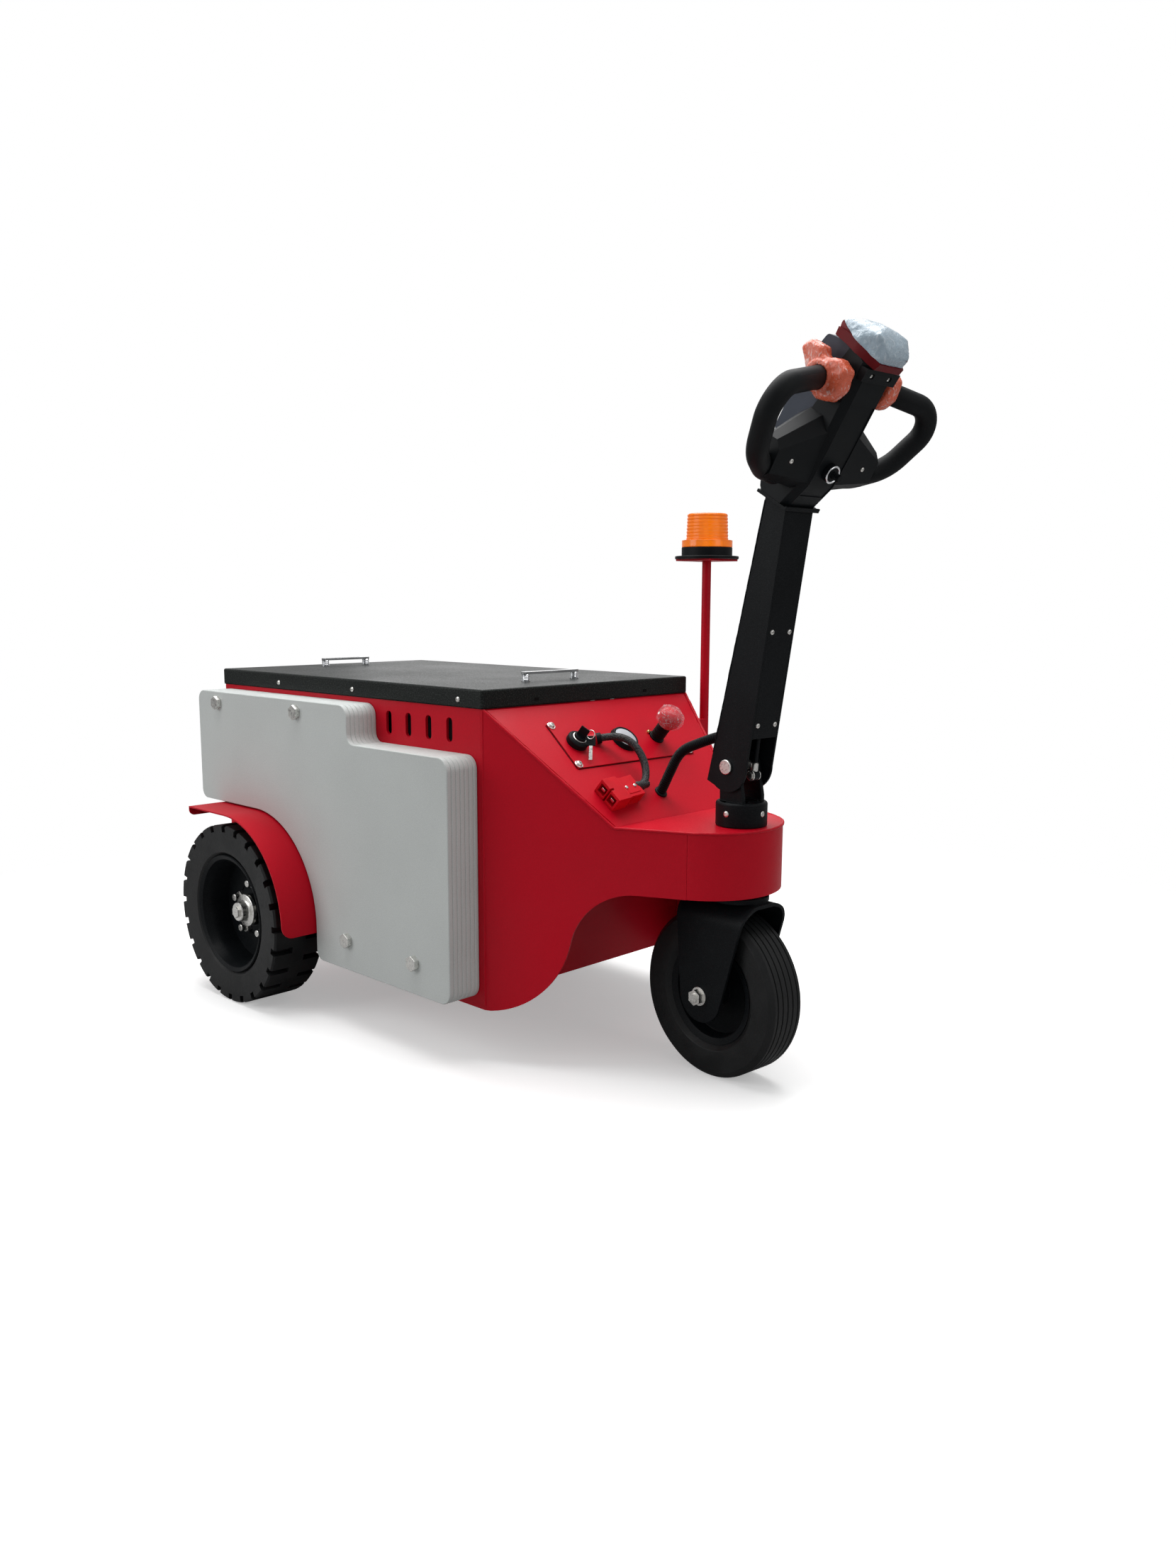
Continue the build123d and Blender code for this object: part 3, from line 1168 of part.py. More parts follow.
NODES = {
    "side_plate_right": lambda: [side_plate()],
    "side_plate_left": lambda: [mirror(side_plate(), about=Plane.XZ)],
    "body_frame": lambda: [body_frame()],
    "slope_panel": lambda: [slope_panel()],
    "nose_shell": lambda: [nose_shell()],
    "steering_housing": lambda: [steering_housing()],
    "battery": lambda: [battery()],
    "drive_axle": lambda: [drive_axle()],
    "fenders": lambda: mirrored(fender()),
    "ballast_plates_odd": lambda: ballast_plates(0),
    "ballast_plates_even": lambda: ballast_plates(1),
    "ballast_bolts": lambda: ballast_bolts(),
    "lid": lambda: [lid()],
    "lid_handles": lambda: lid_handles(),
    "control_panel": lambda: [control_panel()],
    "key_switch": lambda: [key_switch()],
    "battery_gauge": lambda: [battery_gauge()],
    "emergency_stop": lambda: [emergency_stop()],
    "power_connector": lambda: [power_connector()],
    "connector_lead": lambda: [connector_lead()],
    "conduit": lambda: [conduit()],
    "beacon_pole": lambda: [beacon_pole()],
    "beacon_base": lambda: [beacon_base()],
    "beacon_lens": lambda: [beacon_lens()],
    "rear_tyre_right": lambda: [rear_wheel_place(rear_tyre(), -1)],
    "rear_tyre_left": lambda: [rear_wheel_place(rear_tyre(), 1)],
    "rear_rim_right": lambda: [rear_wheel_place(rear_rim(), -1)],
    "rear_rim_left": lambda: [rear_wheel_place(rear_rim(), 1)],
    "front_tyre": lambda: [front_place(front_tyre())],
    "front_rim": lambda: [front_place(front_rim())],
    "front_axle": lambda: [front_place(front_axle())],
    "fork": lambda: [fork()],
    "tiller_yoke": lambda: [tiller_yoke()],
    "tiller_pin": lambda: [tiller_pin()],
    "tiller_arm": lambda: [tiller_arm()],
    "tiller_cover": lambda: [tiller_cover()],
    "gas_spring": lambda: [gas_spring()],
    "head_shell": lambda: [steered(head_shell())],
    "head_console": lambda: [steered(head_console() - head_shell())],
    "handle_loops": lambda: [
        steered(loop - head_shell() - head_console()) for loop in handle_loops()
    ],
    "butterfly_grips": lambda: [
        steered(grip - joined(*handle_loops())) for grip in butterfly_grips()
    ],
    "belly_button": lambda: [steered(belly_button() - head_shell() - head_console())],
    "head_lock": lambda: [steered(head_lock() - head_shell())],
    "tow_hitch": lambda: [tow_hitch()],
    "hitch_pin": lambda: [hitch_pin()],
}


if __name__ == "__main__":
    os.makedirs("parts", exist_ok=True)
    for name, make in NODES.items():
        write(name, *make())
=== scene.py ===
"""The finish of a pedestrian electric tow tug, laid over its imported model."""

import json
import math

import bpy
from mathutils import Matrix, Vector
from mathutils.bvhtree import BVHTree

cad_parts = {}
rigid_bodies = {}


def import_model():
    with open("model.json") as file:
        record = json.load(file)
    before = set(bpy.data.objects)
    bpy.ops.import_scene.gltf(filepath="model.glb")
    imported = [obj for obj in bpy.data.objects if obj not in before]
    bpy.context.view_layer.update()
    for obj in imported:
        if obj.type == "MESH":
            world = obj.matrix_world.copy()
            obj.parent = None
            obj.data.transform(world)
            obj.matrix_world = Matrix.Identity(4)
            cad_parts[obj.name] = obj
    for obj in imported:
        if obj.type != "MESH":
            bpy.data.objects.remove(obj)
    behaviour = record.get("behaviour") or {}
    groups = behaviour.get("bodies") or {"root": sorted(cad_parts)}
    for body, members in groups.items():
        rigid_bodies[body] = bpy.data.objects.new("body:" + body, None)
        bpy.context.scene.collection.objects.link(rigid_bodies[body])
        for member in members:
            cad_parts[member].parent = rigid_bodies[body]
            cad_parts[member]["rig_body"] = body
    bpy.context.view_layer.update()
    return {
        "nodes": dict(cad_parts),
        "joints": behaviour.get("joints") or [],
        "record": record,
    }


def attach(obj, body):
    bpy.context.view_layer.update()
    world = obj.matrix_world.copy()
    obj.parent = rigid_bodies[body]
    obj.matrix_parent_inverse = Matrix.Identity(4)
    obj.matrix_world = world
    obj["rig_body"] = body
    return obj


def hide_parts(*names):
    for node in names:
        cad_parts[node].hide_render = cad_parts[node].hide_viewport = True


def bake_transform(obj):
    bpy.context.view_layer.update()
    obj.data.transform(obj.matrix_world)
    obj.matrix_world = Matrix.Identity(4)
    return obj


bl_info = {
    "name": "Tow tug",
    "version": (1, 0, 0),
    "blender": (4, 5, 0),
    "location": "3D View > Sidebar > Tow tug",
    "description": "Finishes a three-wheeled pedestrian tow tug piece by piece",
    "category": "Object",
}

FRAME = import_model()
BODY_OF = {node: obj["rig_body"] for node, obj in FRAME["nodes"].items()}
SLOT_OF = {row["node"]: row["material_slot"] for row in FRAME["record"]["subparts"]}
JOINTS = {joint["name"]: joint for joint in FRAME["joints"]}

STEER = Vector(JOINTS["steer"]["pos_m"])
SIDE = Vector(JOINTS["tiller_tilt"]["axis"])
STEERED = Matrix.Translation((STEER.x, 0, 0)) @ Matrix.Rotation(
    math.atan2(-SIDE.x, SIDE.y), 4, "Z"
)
REAR_HUB = Vector(JOINTS["rear_wheel_right_spin"]["pos_m"])
FRONT_HUB = Vector(JOINTS["front_wheel_spin"]["pos_m"])
FINISH = {}

# Places are given in millimetres from the rear axle on the ground, as in the model
MM = 0.001
BODY_FRONT, BODY_HALF, BODY_TOP = 656.0, 280.8, 658.0
CREASE_X, NOSE_TOP, NOSE_X, NOSE_R = 880.8, 461.6, 943.7, 135.4
LID_TOP, LID_LOW, LID_FRONT = 692.4, 658.1, 658.6
HEAD_X, HEAD_Z, HEAD_LEAN = 83.8, 1015.1, math.radians(30.0)
FALL = math.atan2(BODY_TOP - NOSE_TOP, CREASE_X - BODY_FRONT)

CAMERA_PLACE = (1.7921, -1.6879, 0.8546)
CAMERA_AZIMUTH, CAMERA_FALL, CAMERA_ROLL = (math.radians(a) for a in (44.2, 8.74, 0.19))
CAMERA_SENSOR, CAMERA_LENS = 36.0, 27.875


# ---------------------------------------------------------------- places
def at(x, y, z):
    """A place in the row's frame, from millimetres ahead of the rear axle."""
    return Vector((REAR_HUB.x + x * MM, y * MM, z * MM))


def framed(x_axis, y_axis, z_axis, origin):
    """A matrix from three axes and an origin."""
    matrix = Matrix((x_axis, y_axis, z_axis)).transposed().to_4x4()
    matrix.translation = origin
    return matrix


def on_slope(s, y, h=0.0, turn=0.0):
    """A place on the sloping panel: s down it, y across and h out of it."""
    down = Vector((math.cos(FALL), 0, -math.sin(FALL)))
    out = Vector((math.sin(FALL), 0, math.cos(FALL)))
    origin = at(BODY_FRONT, y, BODY_TOP) + (down * s + out * h) * MM
    return framed(down, (0, 1, 0), out, origin) @ Matrix.Rotation(math.radians(turn), 4, "Z")


def moved(place, x, y, z):
    """A place shifted along its own axes, in millimetres."""
    return place @ Matrix.Translation((x * MM, y * MM, z * MM))


def on_arm(x, y, z):
    """A place measured in millimetres from the steering axis, turned with it."""
    return moved(STEERED, x, y, z)


def on_head(a, b, y=0.0):
    """A place on the tiller head, looking out of its front face."""
    up = Vector((math.sin(HEAD_LEAN), 0, math.cos(HEAD_LEAN)))
    out = Vector((math.cos(HEAD_LEAN), 0, -math.sin(HEAD_LEAN)))
    origin = Vector((HEAD_X, y, HEAD_Z)) * MM + (up * a + out * b) * MM
    return STEERED @ framed((0, 1, 0), up, out, origin)


def facing(origin, out, up=(0, 0, 1)):
    """A place whose z looks along out."""
    z_axis = Vector(out).normalized()
    x_axis = Vector(up).cross(z_axis)
    if x_axis.length < 0.001:
        x_axis = Vector((1, 0, 0))
    x_axis.normalize()
    return framed(x_axis, z_axis.cross(x_axis), z_axis, Vector(origin))


# ---------------------------------------------------------------- shader maths
class Mask:
    """A number that changes over a surface; Python's operators add its Math nodes."""

    def __init__(self, tree, socket):
        self.tree = tree
        self.socket = socket

    def _maths(self, operation, *values):
        node = self.tree.nodes.new("ShaderNodeMath")
        node.operation = operation
        for slot, value in zip(node.inputs, values):
            connect(self.tree, slot, value)
        return Mask(self.tree, node.outputs[0])

    def __add__(self, other):
        return self._maths("ADD", self, other)

    __radd__ = __add__

    def __sub__(self, other):
        return self._maths("SUBTRACT", self, other)

    def __rsub__(self, other):
        return self._maths("SUBTRACT", other, self)

    def __mul__(self, other):
        return self._maths("MULTIPLY", self, other)

    __rmul__ = __mul__

    def __pow__(self, other):
        return self._maths("POWER", self, other)

    def step(self, low, high):
        """0 below low, 1 above high and straight between."""
        node = self.tree.nodes.new("ShaderNodeMapRange")
        for slot, value in zip(node.inputs, (self, low, high, 0.0, 1.0)):
            connect(self.tree, slot, value)
        return Mask(self.tree, node.outputs[0])


def connect(tree, slot, value):
    """Set a socket to a value, or link it."""
    if isinstance(value, Mask):
        tree.links.new(value.socket, slot)
    elif isinstance(value, bpy.types.NodeSocket):
        tree.links.new(value, slot)
    else:
        slot.default_value = value


class Surface:
    """One material, built up from a Principled shader."""

    def __init__(self, name, colour, roughness, **plain):
        self.material = bpy.data.materials.new(name)
        self.material.use_nodes = True
        self.tree = self.material.node_tree
        self.shader = self.tree.nodes["Principled BSDF"]
        self.set(roughness=roughness, base_color=(*colour, 1.0), **plain)
        self.place = self.node("ShaderNodeTexCoord").outputs["Object"]

    def set(self, **values):
        for key, value in values.items():
            slot = self.shader.inputs[key.replace("_", " ").title().replace("Ior", "IOR")]
            connect(self.tree, slot, value)

    def node(self, kind, settings=None, **sockets):
        made = self.tree.nodes.new(kind)
        for key, value in (settings or {}).items():
            setattr(made, key, value)
        for key, value in sockets.items():
            connect(self.tree, made.inputs[key.replace("_", " ").title()], value)
        return made

    def noise(self, size, detail=2.0, stretch=(1, 1, 1), warp=0.0):
        """Smooth noise with lumps of about the given size in metres."""
        place = self.node("ShaderNodeMapping", Vector=self.place, Scale=stretch).outputs[0]
        made = self.node(
            "ShaderNodeTexNoise",
            Vector=place,
            Scale=1.0 / size,
            Detail=detail,
            Distortion=warp,
        )
        return Mask(self.tree, made.outputs["Fac"])

    def cells(self, size, feature="F1"):
        made = self.node(
            "ShaderNodeTexVoronoi", {"feature": feature}, Vector=self.place, Scale=1.0 / size
        )
        return Mask(self.tree, made.outputs["Distance"])

    def axis(self, name):
        parts = self.node("ShaderNodeSeparateXYZ", Vector=self.place)
        return Mask(self.tree, parts.outputs[name])

    def blend(self, mask, first, second):
        """Colour first where mask is 0 and second where it is 1."""
        made = self.node("ShaderNodeMix", {"data_type": "RGBA"})
        connect(self.tree, made.inputs["Factor"], mask)
        for slot, value in ((made.inputs[6], first), (made.inputs[7], second)):
            connect(self.tree, slot, value if not isinstance(value, tuple) else (*value, 1.0))
        return made.outputs[2]

    def bump(self, height, depth, strength=1.0):
        made = self.node("ShaderNodeBump", Height=height, Distance=depth, Strength=strength)
        self.set(normal=made.outputs[0])


def tint(colour, share):
    """A colour made lighter or darker by a share."""
    return tuple(min(1.0, c * share) for c in colour)


def paint(name, colour, roughness, coat, grain):
    """Sprayed or powder coated sheet: faint clouds, fine grain and a thin coat."""
    s = Surface(name, colour, roughness, coat_roughness=0.22, specular_ior_level=0.12)
    clouds = s.noise(0.16, 2.0).step(0.2, 0.8)
    specks = s.noise(0.0016, 1.0).step(0.42, 0.62)
    shade = s.blend(clouds, tint(colour, 0.96), tint(colour, 1.04))
    s.set(base_color=s.blend(specks * 0.22, shade, tint(colour, 1.45)))
    s.set(roughness=roughness + clouds * 0.08 - specks * 0.05, coat_weight=coat - clouds * 0.1)
    s.bump(s.noise(0.0022, 2.0) + s.noise(0.03, 1.0) * 0.6, grain)
    return s.material


def make_finishes(settings):
    """Every material of the tug, by the record's slots and a few more."""
    FINISH["red_paint"] = paint("red_paint", settings.red, 0.42, 0.12, 0.00012)
    FINISH["grey_paint"] = paint("grey_paint", settings.grey, 0.46, 0.12, 0.0001)
    FINISH["black_steel"] = worn_black()
    FINISH["lid_black"] = lid_coat()
    FINISH["rubber"] = rubber()
    FINISH["zinc"] = metal("zinc", (0.78, 0.77, 0.74), 0.3, 0.004)
    FINISH["chrome"] = metal("chrome", (0.83, 0.84, 0.86), 0.1, 0.02)
    FINISH["cast"] = paint("cast", (0.012, 0.013, 0.015), 0.55, 0.05, 0.0004)
    FINISH["battery_case"] = paint("battery_case", (0.03, 0.03, 0.034), 0.5, 0.05, 0.0002)
    FINISH["black_plastic"] = plastic("black_plastic", (0.0045, 0.0058, 0.007), 0.42)
    FINISH["grey_plastic"] = plastic("grey_plastic", (0.045, 0.052, 0.068), 0.42)
    FINISH["red_plastic"] = plastic("red_plastic", (0.6, 0.006, 0.016), 0.36)
    # The second colour given to each crinkled film is a painted highlight for its raised folds.
    salmon, pale = (0.76, 0.13, 0.06), (0.95, 0.8, 0.76)
    FINISH["pink_plastic"] = crinkled("pink_plastic", salmon, pale, 0.6)
    FINISH["blue_film"] = crinkled("blue_film", (0.36, 0.46, 0.54), (0.62, 0.7, 0.76), 0.6)
    FINISH["amber"] = amber()
    FINISH["braid"] = braid()
    FINISH["shadow"] = plastic("shadow", (0.004, 0.004, 0.004), 0.8)
    FINISH["grip_rubber"] = plastic("grip_rubber", (0.007, 0.008, 0.009), 0.5)
    FINISH["dark_red"] = plastic("dark_red", (0.13, 0.005, 0.008), 0.36)
    FINISH["brass"] = metal("brass", (0.72, 0.55, 0.24), 0.28, 0.004)
    FINISH["glass"] = plastic("glass", (0.5, 0.52, 0.56), 0.12)
    FINISH["clear_film"] = clear_film()


def worn_black():
    """Black enamel with slight dust."""
    colour = (0.0035, 0.0045, 0.0055)
    s = Surface("black_steel", colour, 0.42, coat_roughness=0.3, specular_ior_level=0.09)
    clouds = s.noise(0.09, 5.0).step(0.4, 0.7)
    grit = s.noise(0.0013, 1.0).step(0.5, 0.66)
    dusty = s.blend(clouds * 0.5, colour, (0.008, 0.0095, 0.011))
    s.set(base_color=s.blend(grit * 0.3, dusty, (0.022, 0.024, 0.026)))
    s.set(roughness=0.4 + clouds * 0.12, coat_weight=0.015 + grit * 0.02)
    s.bump(s.noise(0.0018, 2.0) + s.noise(0.02, 1.0) * 0.5, 0.00015)
    return s.material


def lid_coat():
    """Textured powder coat whose tiny raised points are painted lighter: a painted highlight."""
    colour = (0.004, 0.0055, 0.0055)
    s = Surface("lid_black", colour, 0.34, coat_roughness=0.3, specular_ior_level=0.14)
    highlight_crests = s.noise(0.0026, 3.0).step(0.48, 0.7)
    clouds = s.noise(0.2, 3.0).step(0.35, 0.7)
    body = s.blend(clouds * 0.6, colour, (0.008, 0.010, 0.009))
    # The tiny raised points are painted lighter than the coat: a painted highlight.
    s.set(base_color=s.blend(highlight_crests * 0.6, body, (0.04, 0.047, 0.042)))
    s.set(roughness=0.36 + clouds * 0.08 - highlight_crests * 0.1, coat_weight=0.03 + highlight_crests * 0.12)
    s.bump(s.noise(0.0026, 3.0), 0.0005, 0.8)
    return s.material


def rubber():
    """Black tyre rubber with a little road dust."""
    colour = (0.006, 0.0066, 0.0072)
    s = Surface("rubber", colour, 0.5, specular_ior_level=0.26)
    dust = s.noise(0.05, 5.0).step(0.42, 0.75)
    fine = s.noise(0.0025, 2.0).step(0.4, 0.7)
    s.set(base_color=s.blend(dust * 0.5 + fine * 0.1, colour, (0.018, 0.0185, 0.019)))
    s.set(roughness=0.42 + dust * 0.2)
    s.bump(s.noise(0.004, 3.0) + s.noise(0.0012, 1.0) * 0.4, 0.0003)
    return s.material


def metal(name, colour, roughness, lump):
    """Bare or plated metal."""
    s = Surface(name, colour, roughness, metallic=1.0)
    clouds = s.noise(lump, 4.0).step(0.3, 0.7)
    s.set(base_color=s.blend(clouds, tint(colour, 0.82), tint(colour, 1.08)))
    s.set(roughness=roughness * 0.8 + clouds * roughness * 0.5)
    s.bump(s.noise(lump * 0.3, 3.0), 0.00006)
    return s.material


def plastic(name, colour, roughness):
    """Moulded plastic with a fine spark-eroded grain."""
    s = Surface(name, colour, roughness, specular_ior_level=0.13)
    clouds = s.noise(0.05, 4.0).step(0.35, 0.7)
    grain = s.noise(0.0009, 1.0)
    s.set(base_color=s.blend(clouds, tint(colour, 0.9), tint(colour, 1.15)))
    s.set(roughness=roughness + clouds * 0.08 + grain * 0.06)
    s.bump(grain + s.noise(0.012, 2.0) * 0.4, 0.00012)
    return s.material


def braid():
    """Black woven sleeving."""
    s = Surface("braid", (0.012, 0.012, 0.014), 0.5)
    thread_gap_shade = s.cells(0.0022).step(0.1, 0.75)
    # Thread tops are painted lighter and the gaps between threads darker: painted highlight and
    # painted shade.
    s.set(base_color=s.blend(thread_gap_shade, (0.05, 0.05, 0.054), (0.004, 0.004, 0.005)))
    s.set(roughness=0.42 + thread_gap_shade * 0.3)
    s.bump(1.0 - thread_gap_shade, 0.0006)
    return s.material


def clear_film():
    """Thin crinkled film, nearly clear, with white patches on its folds that are a painted
    highlight.
    """
    s = Surface("clear_film", (0.92, 0.94, 0.98), 0.16, ior=1.45)
    folds = s.noise(0.009, 4.0, warp=2.5).step(0.5, 0.72)
    # The white film shows on its folds only: a painted highlight.
    s.set(alpha=folds * 0.5 + 0.07)
    s.bump(s.noise(0.006, 4.0, warp=2.0), 0.002)
    return s.material


def crinkled(name, colour, highlight_colour, share):
    """Coloured film drawn into creases, whose raised folds are painted pale: a painted highlight.
    """
    s = Surface(name, colour, 0.26, coat_roughness=0.12)
    folds = s.noise(0.011, 4.0, (1, 1, 0.6), 2.2)
    highlight_crests = folds.step(0.55, 0.7)
    fine = s.noise(0.004, 3.0, warp=1.5).step(0.4, 0.7)
    # The raised folds are painted in the pale colour: a painted highlight.
    s.set(base_color=s.blend(highlight_crests * share, colour, highlight_colour))
    s.set(roughness=0.2 + fine * 0.2, coat_weight=0.3 + highlight_crests * 0.4)
    s.bump(folds + fine * 0.2, 0.0014)
    return s.material


def amber():
    """Translucent orange lens with a faint painted glow."""
    colour = (0.95, 0.25, 0.006)
    s = Surface("amber", colour, 0.16, transmission_weight=0.45, ior=1.49)
    clouds = s.noise(0.02, 3.0).step(0.3, 0.7)
    s.set(base_color=s.blend(clouds, tint(colour, 0.96), colour))
    s.set(roughness=0.14 + clouds * 0.04)
    # A faint painted glow that makes the lens look vivid.
    s.set(emission_color=(0.95, 0.2, 0.0, 1.0), emission_strength=0.16)
    return s.material


# ---------------------------------------------------------------- modelling helpers
def only(*pieces):
    """Select these objects alone and make the first one active."""
    if bpy.context.mode != "OBJECT":
        bpy.ops.object.mode_set(mode="OBJECT")
    bpy.ops.object.select_all(action="DESELECT")
    for piece in pieces:
        piece.select_set(True)
    bpy.context.view_layer.objects.active = pieces[0]


def modified(piece, kind, **settings):
    """Add a modifier with settings and apply it."""
    only(piece)
    modifier = piece.modifiers.new(kind.title(), kind)
    for key, value in settings.items():
        setattr(modifier, key, value)
    bpy.ops.object.modifier_apply(modifier=modifier.name)


def smooth(piece, angle=38.0):
    """Shade smooth apart from edges sharper than an angle."""
    only(piece)
    bpy.ops.object.shade_smooth_by_angle(angle=math.radians(angle))


def rounded_edges(piece, width, segments=2, angle=32.0, clamp=True):
    """Round every edge that is sharper than an angle, and keep the flats flat."""
    if width > 0:
        modified(
            piece,
            "BEVEL",
            width=width,
            segments=segments,
            limit_method="ANGLE",
            angle_limit=math.radians(angle),
            use_clamp_overlap=clamp,
        )
    smooth(piece)
    if width > 0:
        modified(piece, "WEIGHTED_NORMAL", keep_sharp=True, weight=80)


def settle(piece, place=None):
    """Write a piece's place into its mesh."""
    if place is not None:
        piece.matrix_world = place
    only(piece)
    bpy.ops.object.transform_apply(location=True, rotation=True, scale=True)
    return piece


def finish(piece, name, body, slot, *nodes, look=None):
    """Give a piece its name, finish and body, and the nodes that it stands for."""
    settle(piece)
    piece.name = name
    piece.data.materials.clear()
    piece.data.materials.append(FINISH[look or slot])
    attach(piece, body)
    if nodes:
        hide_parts(*nodes)
    return piece


def from_node(node, name):
    """A merged copy of a node's mesh."""
    piece = bpy.data.objects.new(name, FRAME["nodes"][node].data.copy())
    bpy.context.scene.collection.objects.link(piece)
    only(piece)
    bpy.ops.object.mode_set(mode="EDIT")
    bpy.ops.mesh.select_all(action="SELECT")
    bpy.ops.mesh.remove_doubles(threshold=0.000002)
    bpy.ops.mesh.dissolve_limited(angle_limit=math.radians(0.4))
    bpy.ops.object.mode_set(mode="OBJECT")
    return piece


def dressed(node, width, segments=2, look=None, clamp=True):
    """A copy of a node with its edges rounded, which stands for the node."""
    piece = from_node(node, node + "_dressed")
    rounded_edges(piece, width, segments, clamp=clamp)
    name = node + "_dressed"
    return finish(piece, name, BODY_OF[node], SLOT_OF[node], node, look=look)


def turned(rings, sides=32):
    """A turned piece, extruded ring by ring from a circle: rings of radius and height."""
    bpy.ops.object.select_all(action="DESELECT")
    radius, height = rings[0]
    bpy.ops.mesh.primitive_circle_add(
        vertices=sides, radius=radius * MM, fill_type="NGON", location=(0, 0, height * MM)
    )
    piece = bpy.context.object
    settle(piece)
    bpy.ops.object.mode_set(mode="EDIT")
    bpy.ops.mesh.select_all(action="SELECT")
    for next_radius, next_height in rings[1:]:
        bpy.ops.mesh.extrude_region_move(
            TRANSFORM_OT_translate={"value": (0, 0, (next_height - height) * MM)}
        )
        share = next_radius / radius
        bpy.ops.transform.resize(
            value=(share, share, 1), center_override=(0, 0, next_height * MM)
        )
        radius, height = next_radius, next_height
    bpy.ops.mesh.select_all(action="DESELECT")
    bpy.ops.mesh.select_non_manifold()
    bpy.ops.mesh.edge_face_add()
    bpy.ops.mesh.select_all(action="SELECT")
    bpy.ops.mesh.normals_make_consistent(inside=False)
    bpy.ops.object.mode_set(mode="OBJECT")
    smooth(piece)
    return piece


def block(size, width=0.0, segments=2):
    """A block with rounded edges, its base in the local plane: size in millimetres."""
    bpy.ops.object.select_all(action="DESELECT")
    bpy.ops.mesh.primitive_cube_add(size=1.0, location=(0, 0, 0.5))
    piece = bpy.context.object
    settle(piece)
    piece.scale = [length * MM for length in size]
    settle(piece)
    rounded_edges(piece, width * MM, segments)
    return piece


def bar_ring(radius, thickness, sides, bar_sides, place):
    """A ring bent from round bar."""
    bpy.ops.object.select_all(action="DESELECT")
    bpy.ops.mesh.primitive_torus_add(
        major_radius=radius * MM,
        minor_radius=thickness * MM,
        major_segments=sides,
        minor_segments=bar_sides,
    )
    ring = bpy.context.object
    smooth(ring, 180)
    return settle(ring, place)


def cut_by(piece, cutter):
    """Cut one piece's shape out of another and drop the cutter."""
    modified(piece, "BOOLEAN", operation="DIFFERENCE", solver="EXACT", object=cutter)
    bpy.data.objects.remove(cutter)
    return piece


def copied(master, places):
    """Copies of one piece at several places, joined into one, each from its own mesh."""
    copies = []
    for place in places:
        copy = bpy.data.objects.new(master.name, master.data.copy())
        bpy.context.scene.collection.objects.link(copy)
        copies.append(settle(copy, place))
    bpy.data.objects.remove(master)
    return gathered(copies)


def gathered(pieces):
    """Several pieces as one."""
    only(*pieces)
    if len(pieces) > 1:
        bpy.ops.object.join()
    return pieces[0]


def lumps(piece, size, height, seed=0):
    """Push a surface in and out by smooth noise: size and height in millimetres."""
    cloud = bpy.data.textures.new("lumps", "CLOUDS")
    cloud.noise_scale = size * MM
    cloud.noise_depth = 2
    only(piece)
    shift = bpy.data.objects.new("shift", None)
    bpy.context.scene.collection.objects.link(shift)
    shift.location = (seed * 0.37, seed * 0.11, 0)
    modified(
        piece,
        "DISPLACE",
        texture=cloud,
        texture_coords="OBJECT",
        texture_coords_object=shift,
        strength=height * MM,
        mid_level=0.5,
    )
    bpy.data.objects.remove(shift)


def spline(points, radius, kind="NURBS", order=3, sides=3):
    """A curve through a route of places, thickened by a radius in millimetres."""
    curve = bpy.data.curves.new("route", "CURVE")
    curve.dimensions = "3D"
    curve.bevel_depth = radius * MM
    curve.bevel_resolution = sides
    curve.use_fill_caps = True
    run = curve.splines.new(kind)
    run.points.add(len(points) - 1)
    for point, place in zip(run.points, points):
        point.co = (*place, 1.0)
    if kind == "NURBS":
        run.order_u = order
        run.use_endpoint_u = True
        run.resolution_u = 12
    piece = bpy.data.objects.new("route", curve)
    bpy.context.scene.collection.objects.link(piece)
    return piece


def as_mesh(piece):
    """Turn a curve into a mesh."""
    only(piece)
    bpy.ops.object.convert(target="MESH")
    return bpy.context.object


def bead(corners, radius, step=5.0, height=1.6):
    """An irregular weld bead along straight runs, in millimetres."""
    places = [Vector(corners[0])]
    for start, end in zip(corners, corners[1:]):
        start, end = Vector(start), Vector(end)
        count = max(1, round((end - start).length / (step * MM)))
        places += [start.lerp(end, (i + 1) / count) for i in range(count)]
    piece = as_mesh(spline(places, radius, "POLY"))
    lumps(piece, 9.0, height, 3)
    lumps(piece, 40.0, height, 5)
    smooth(piece, 80)
    return piece


def screw(radius, height, socket=0.5):
    """A button-headed screw with a six-sided socket."""
    head = turned(
        [
            (radius, 0.0),
            (radius, height * 0.3),
            (radius * 0.9, height * 0.68),
            (radius * 0.66, height * 0.95),
            (radius * 0.55, height),
        ],
        24,
    )
    bpy.ops.object.select_all(action="DESELECT")
    bpy.ops.mesh.primitive_cylinder_add(
        vertices=6, radius=radius * socket * MM, depth=height * MM, location=(0, 0, height * MM)
    )
    return cut_by(head, bpy.context.object)


def bolt(radius, height, washer=0.0):
    """A hexagonal head or nut with its corners turned off, on a washer."""
    bpy.ops.object.select_all(action="DESELECT")
    bpy.ops.mesh.primitive_cylinder_add(
        vertices=6, radius=radius * MM, depth=height * MM, location=(0, 0, height * MM / 2)
    )
    head = settle(bpy.context.object)
    rounded_edges(head, radius * 0.1 * MM, 2)
    if washer:
        return gathered([head, turned([(washer, 0), (washer, 1.6), (washer - 0.5, 2.0)], 28)])
    return head


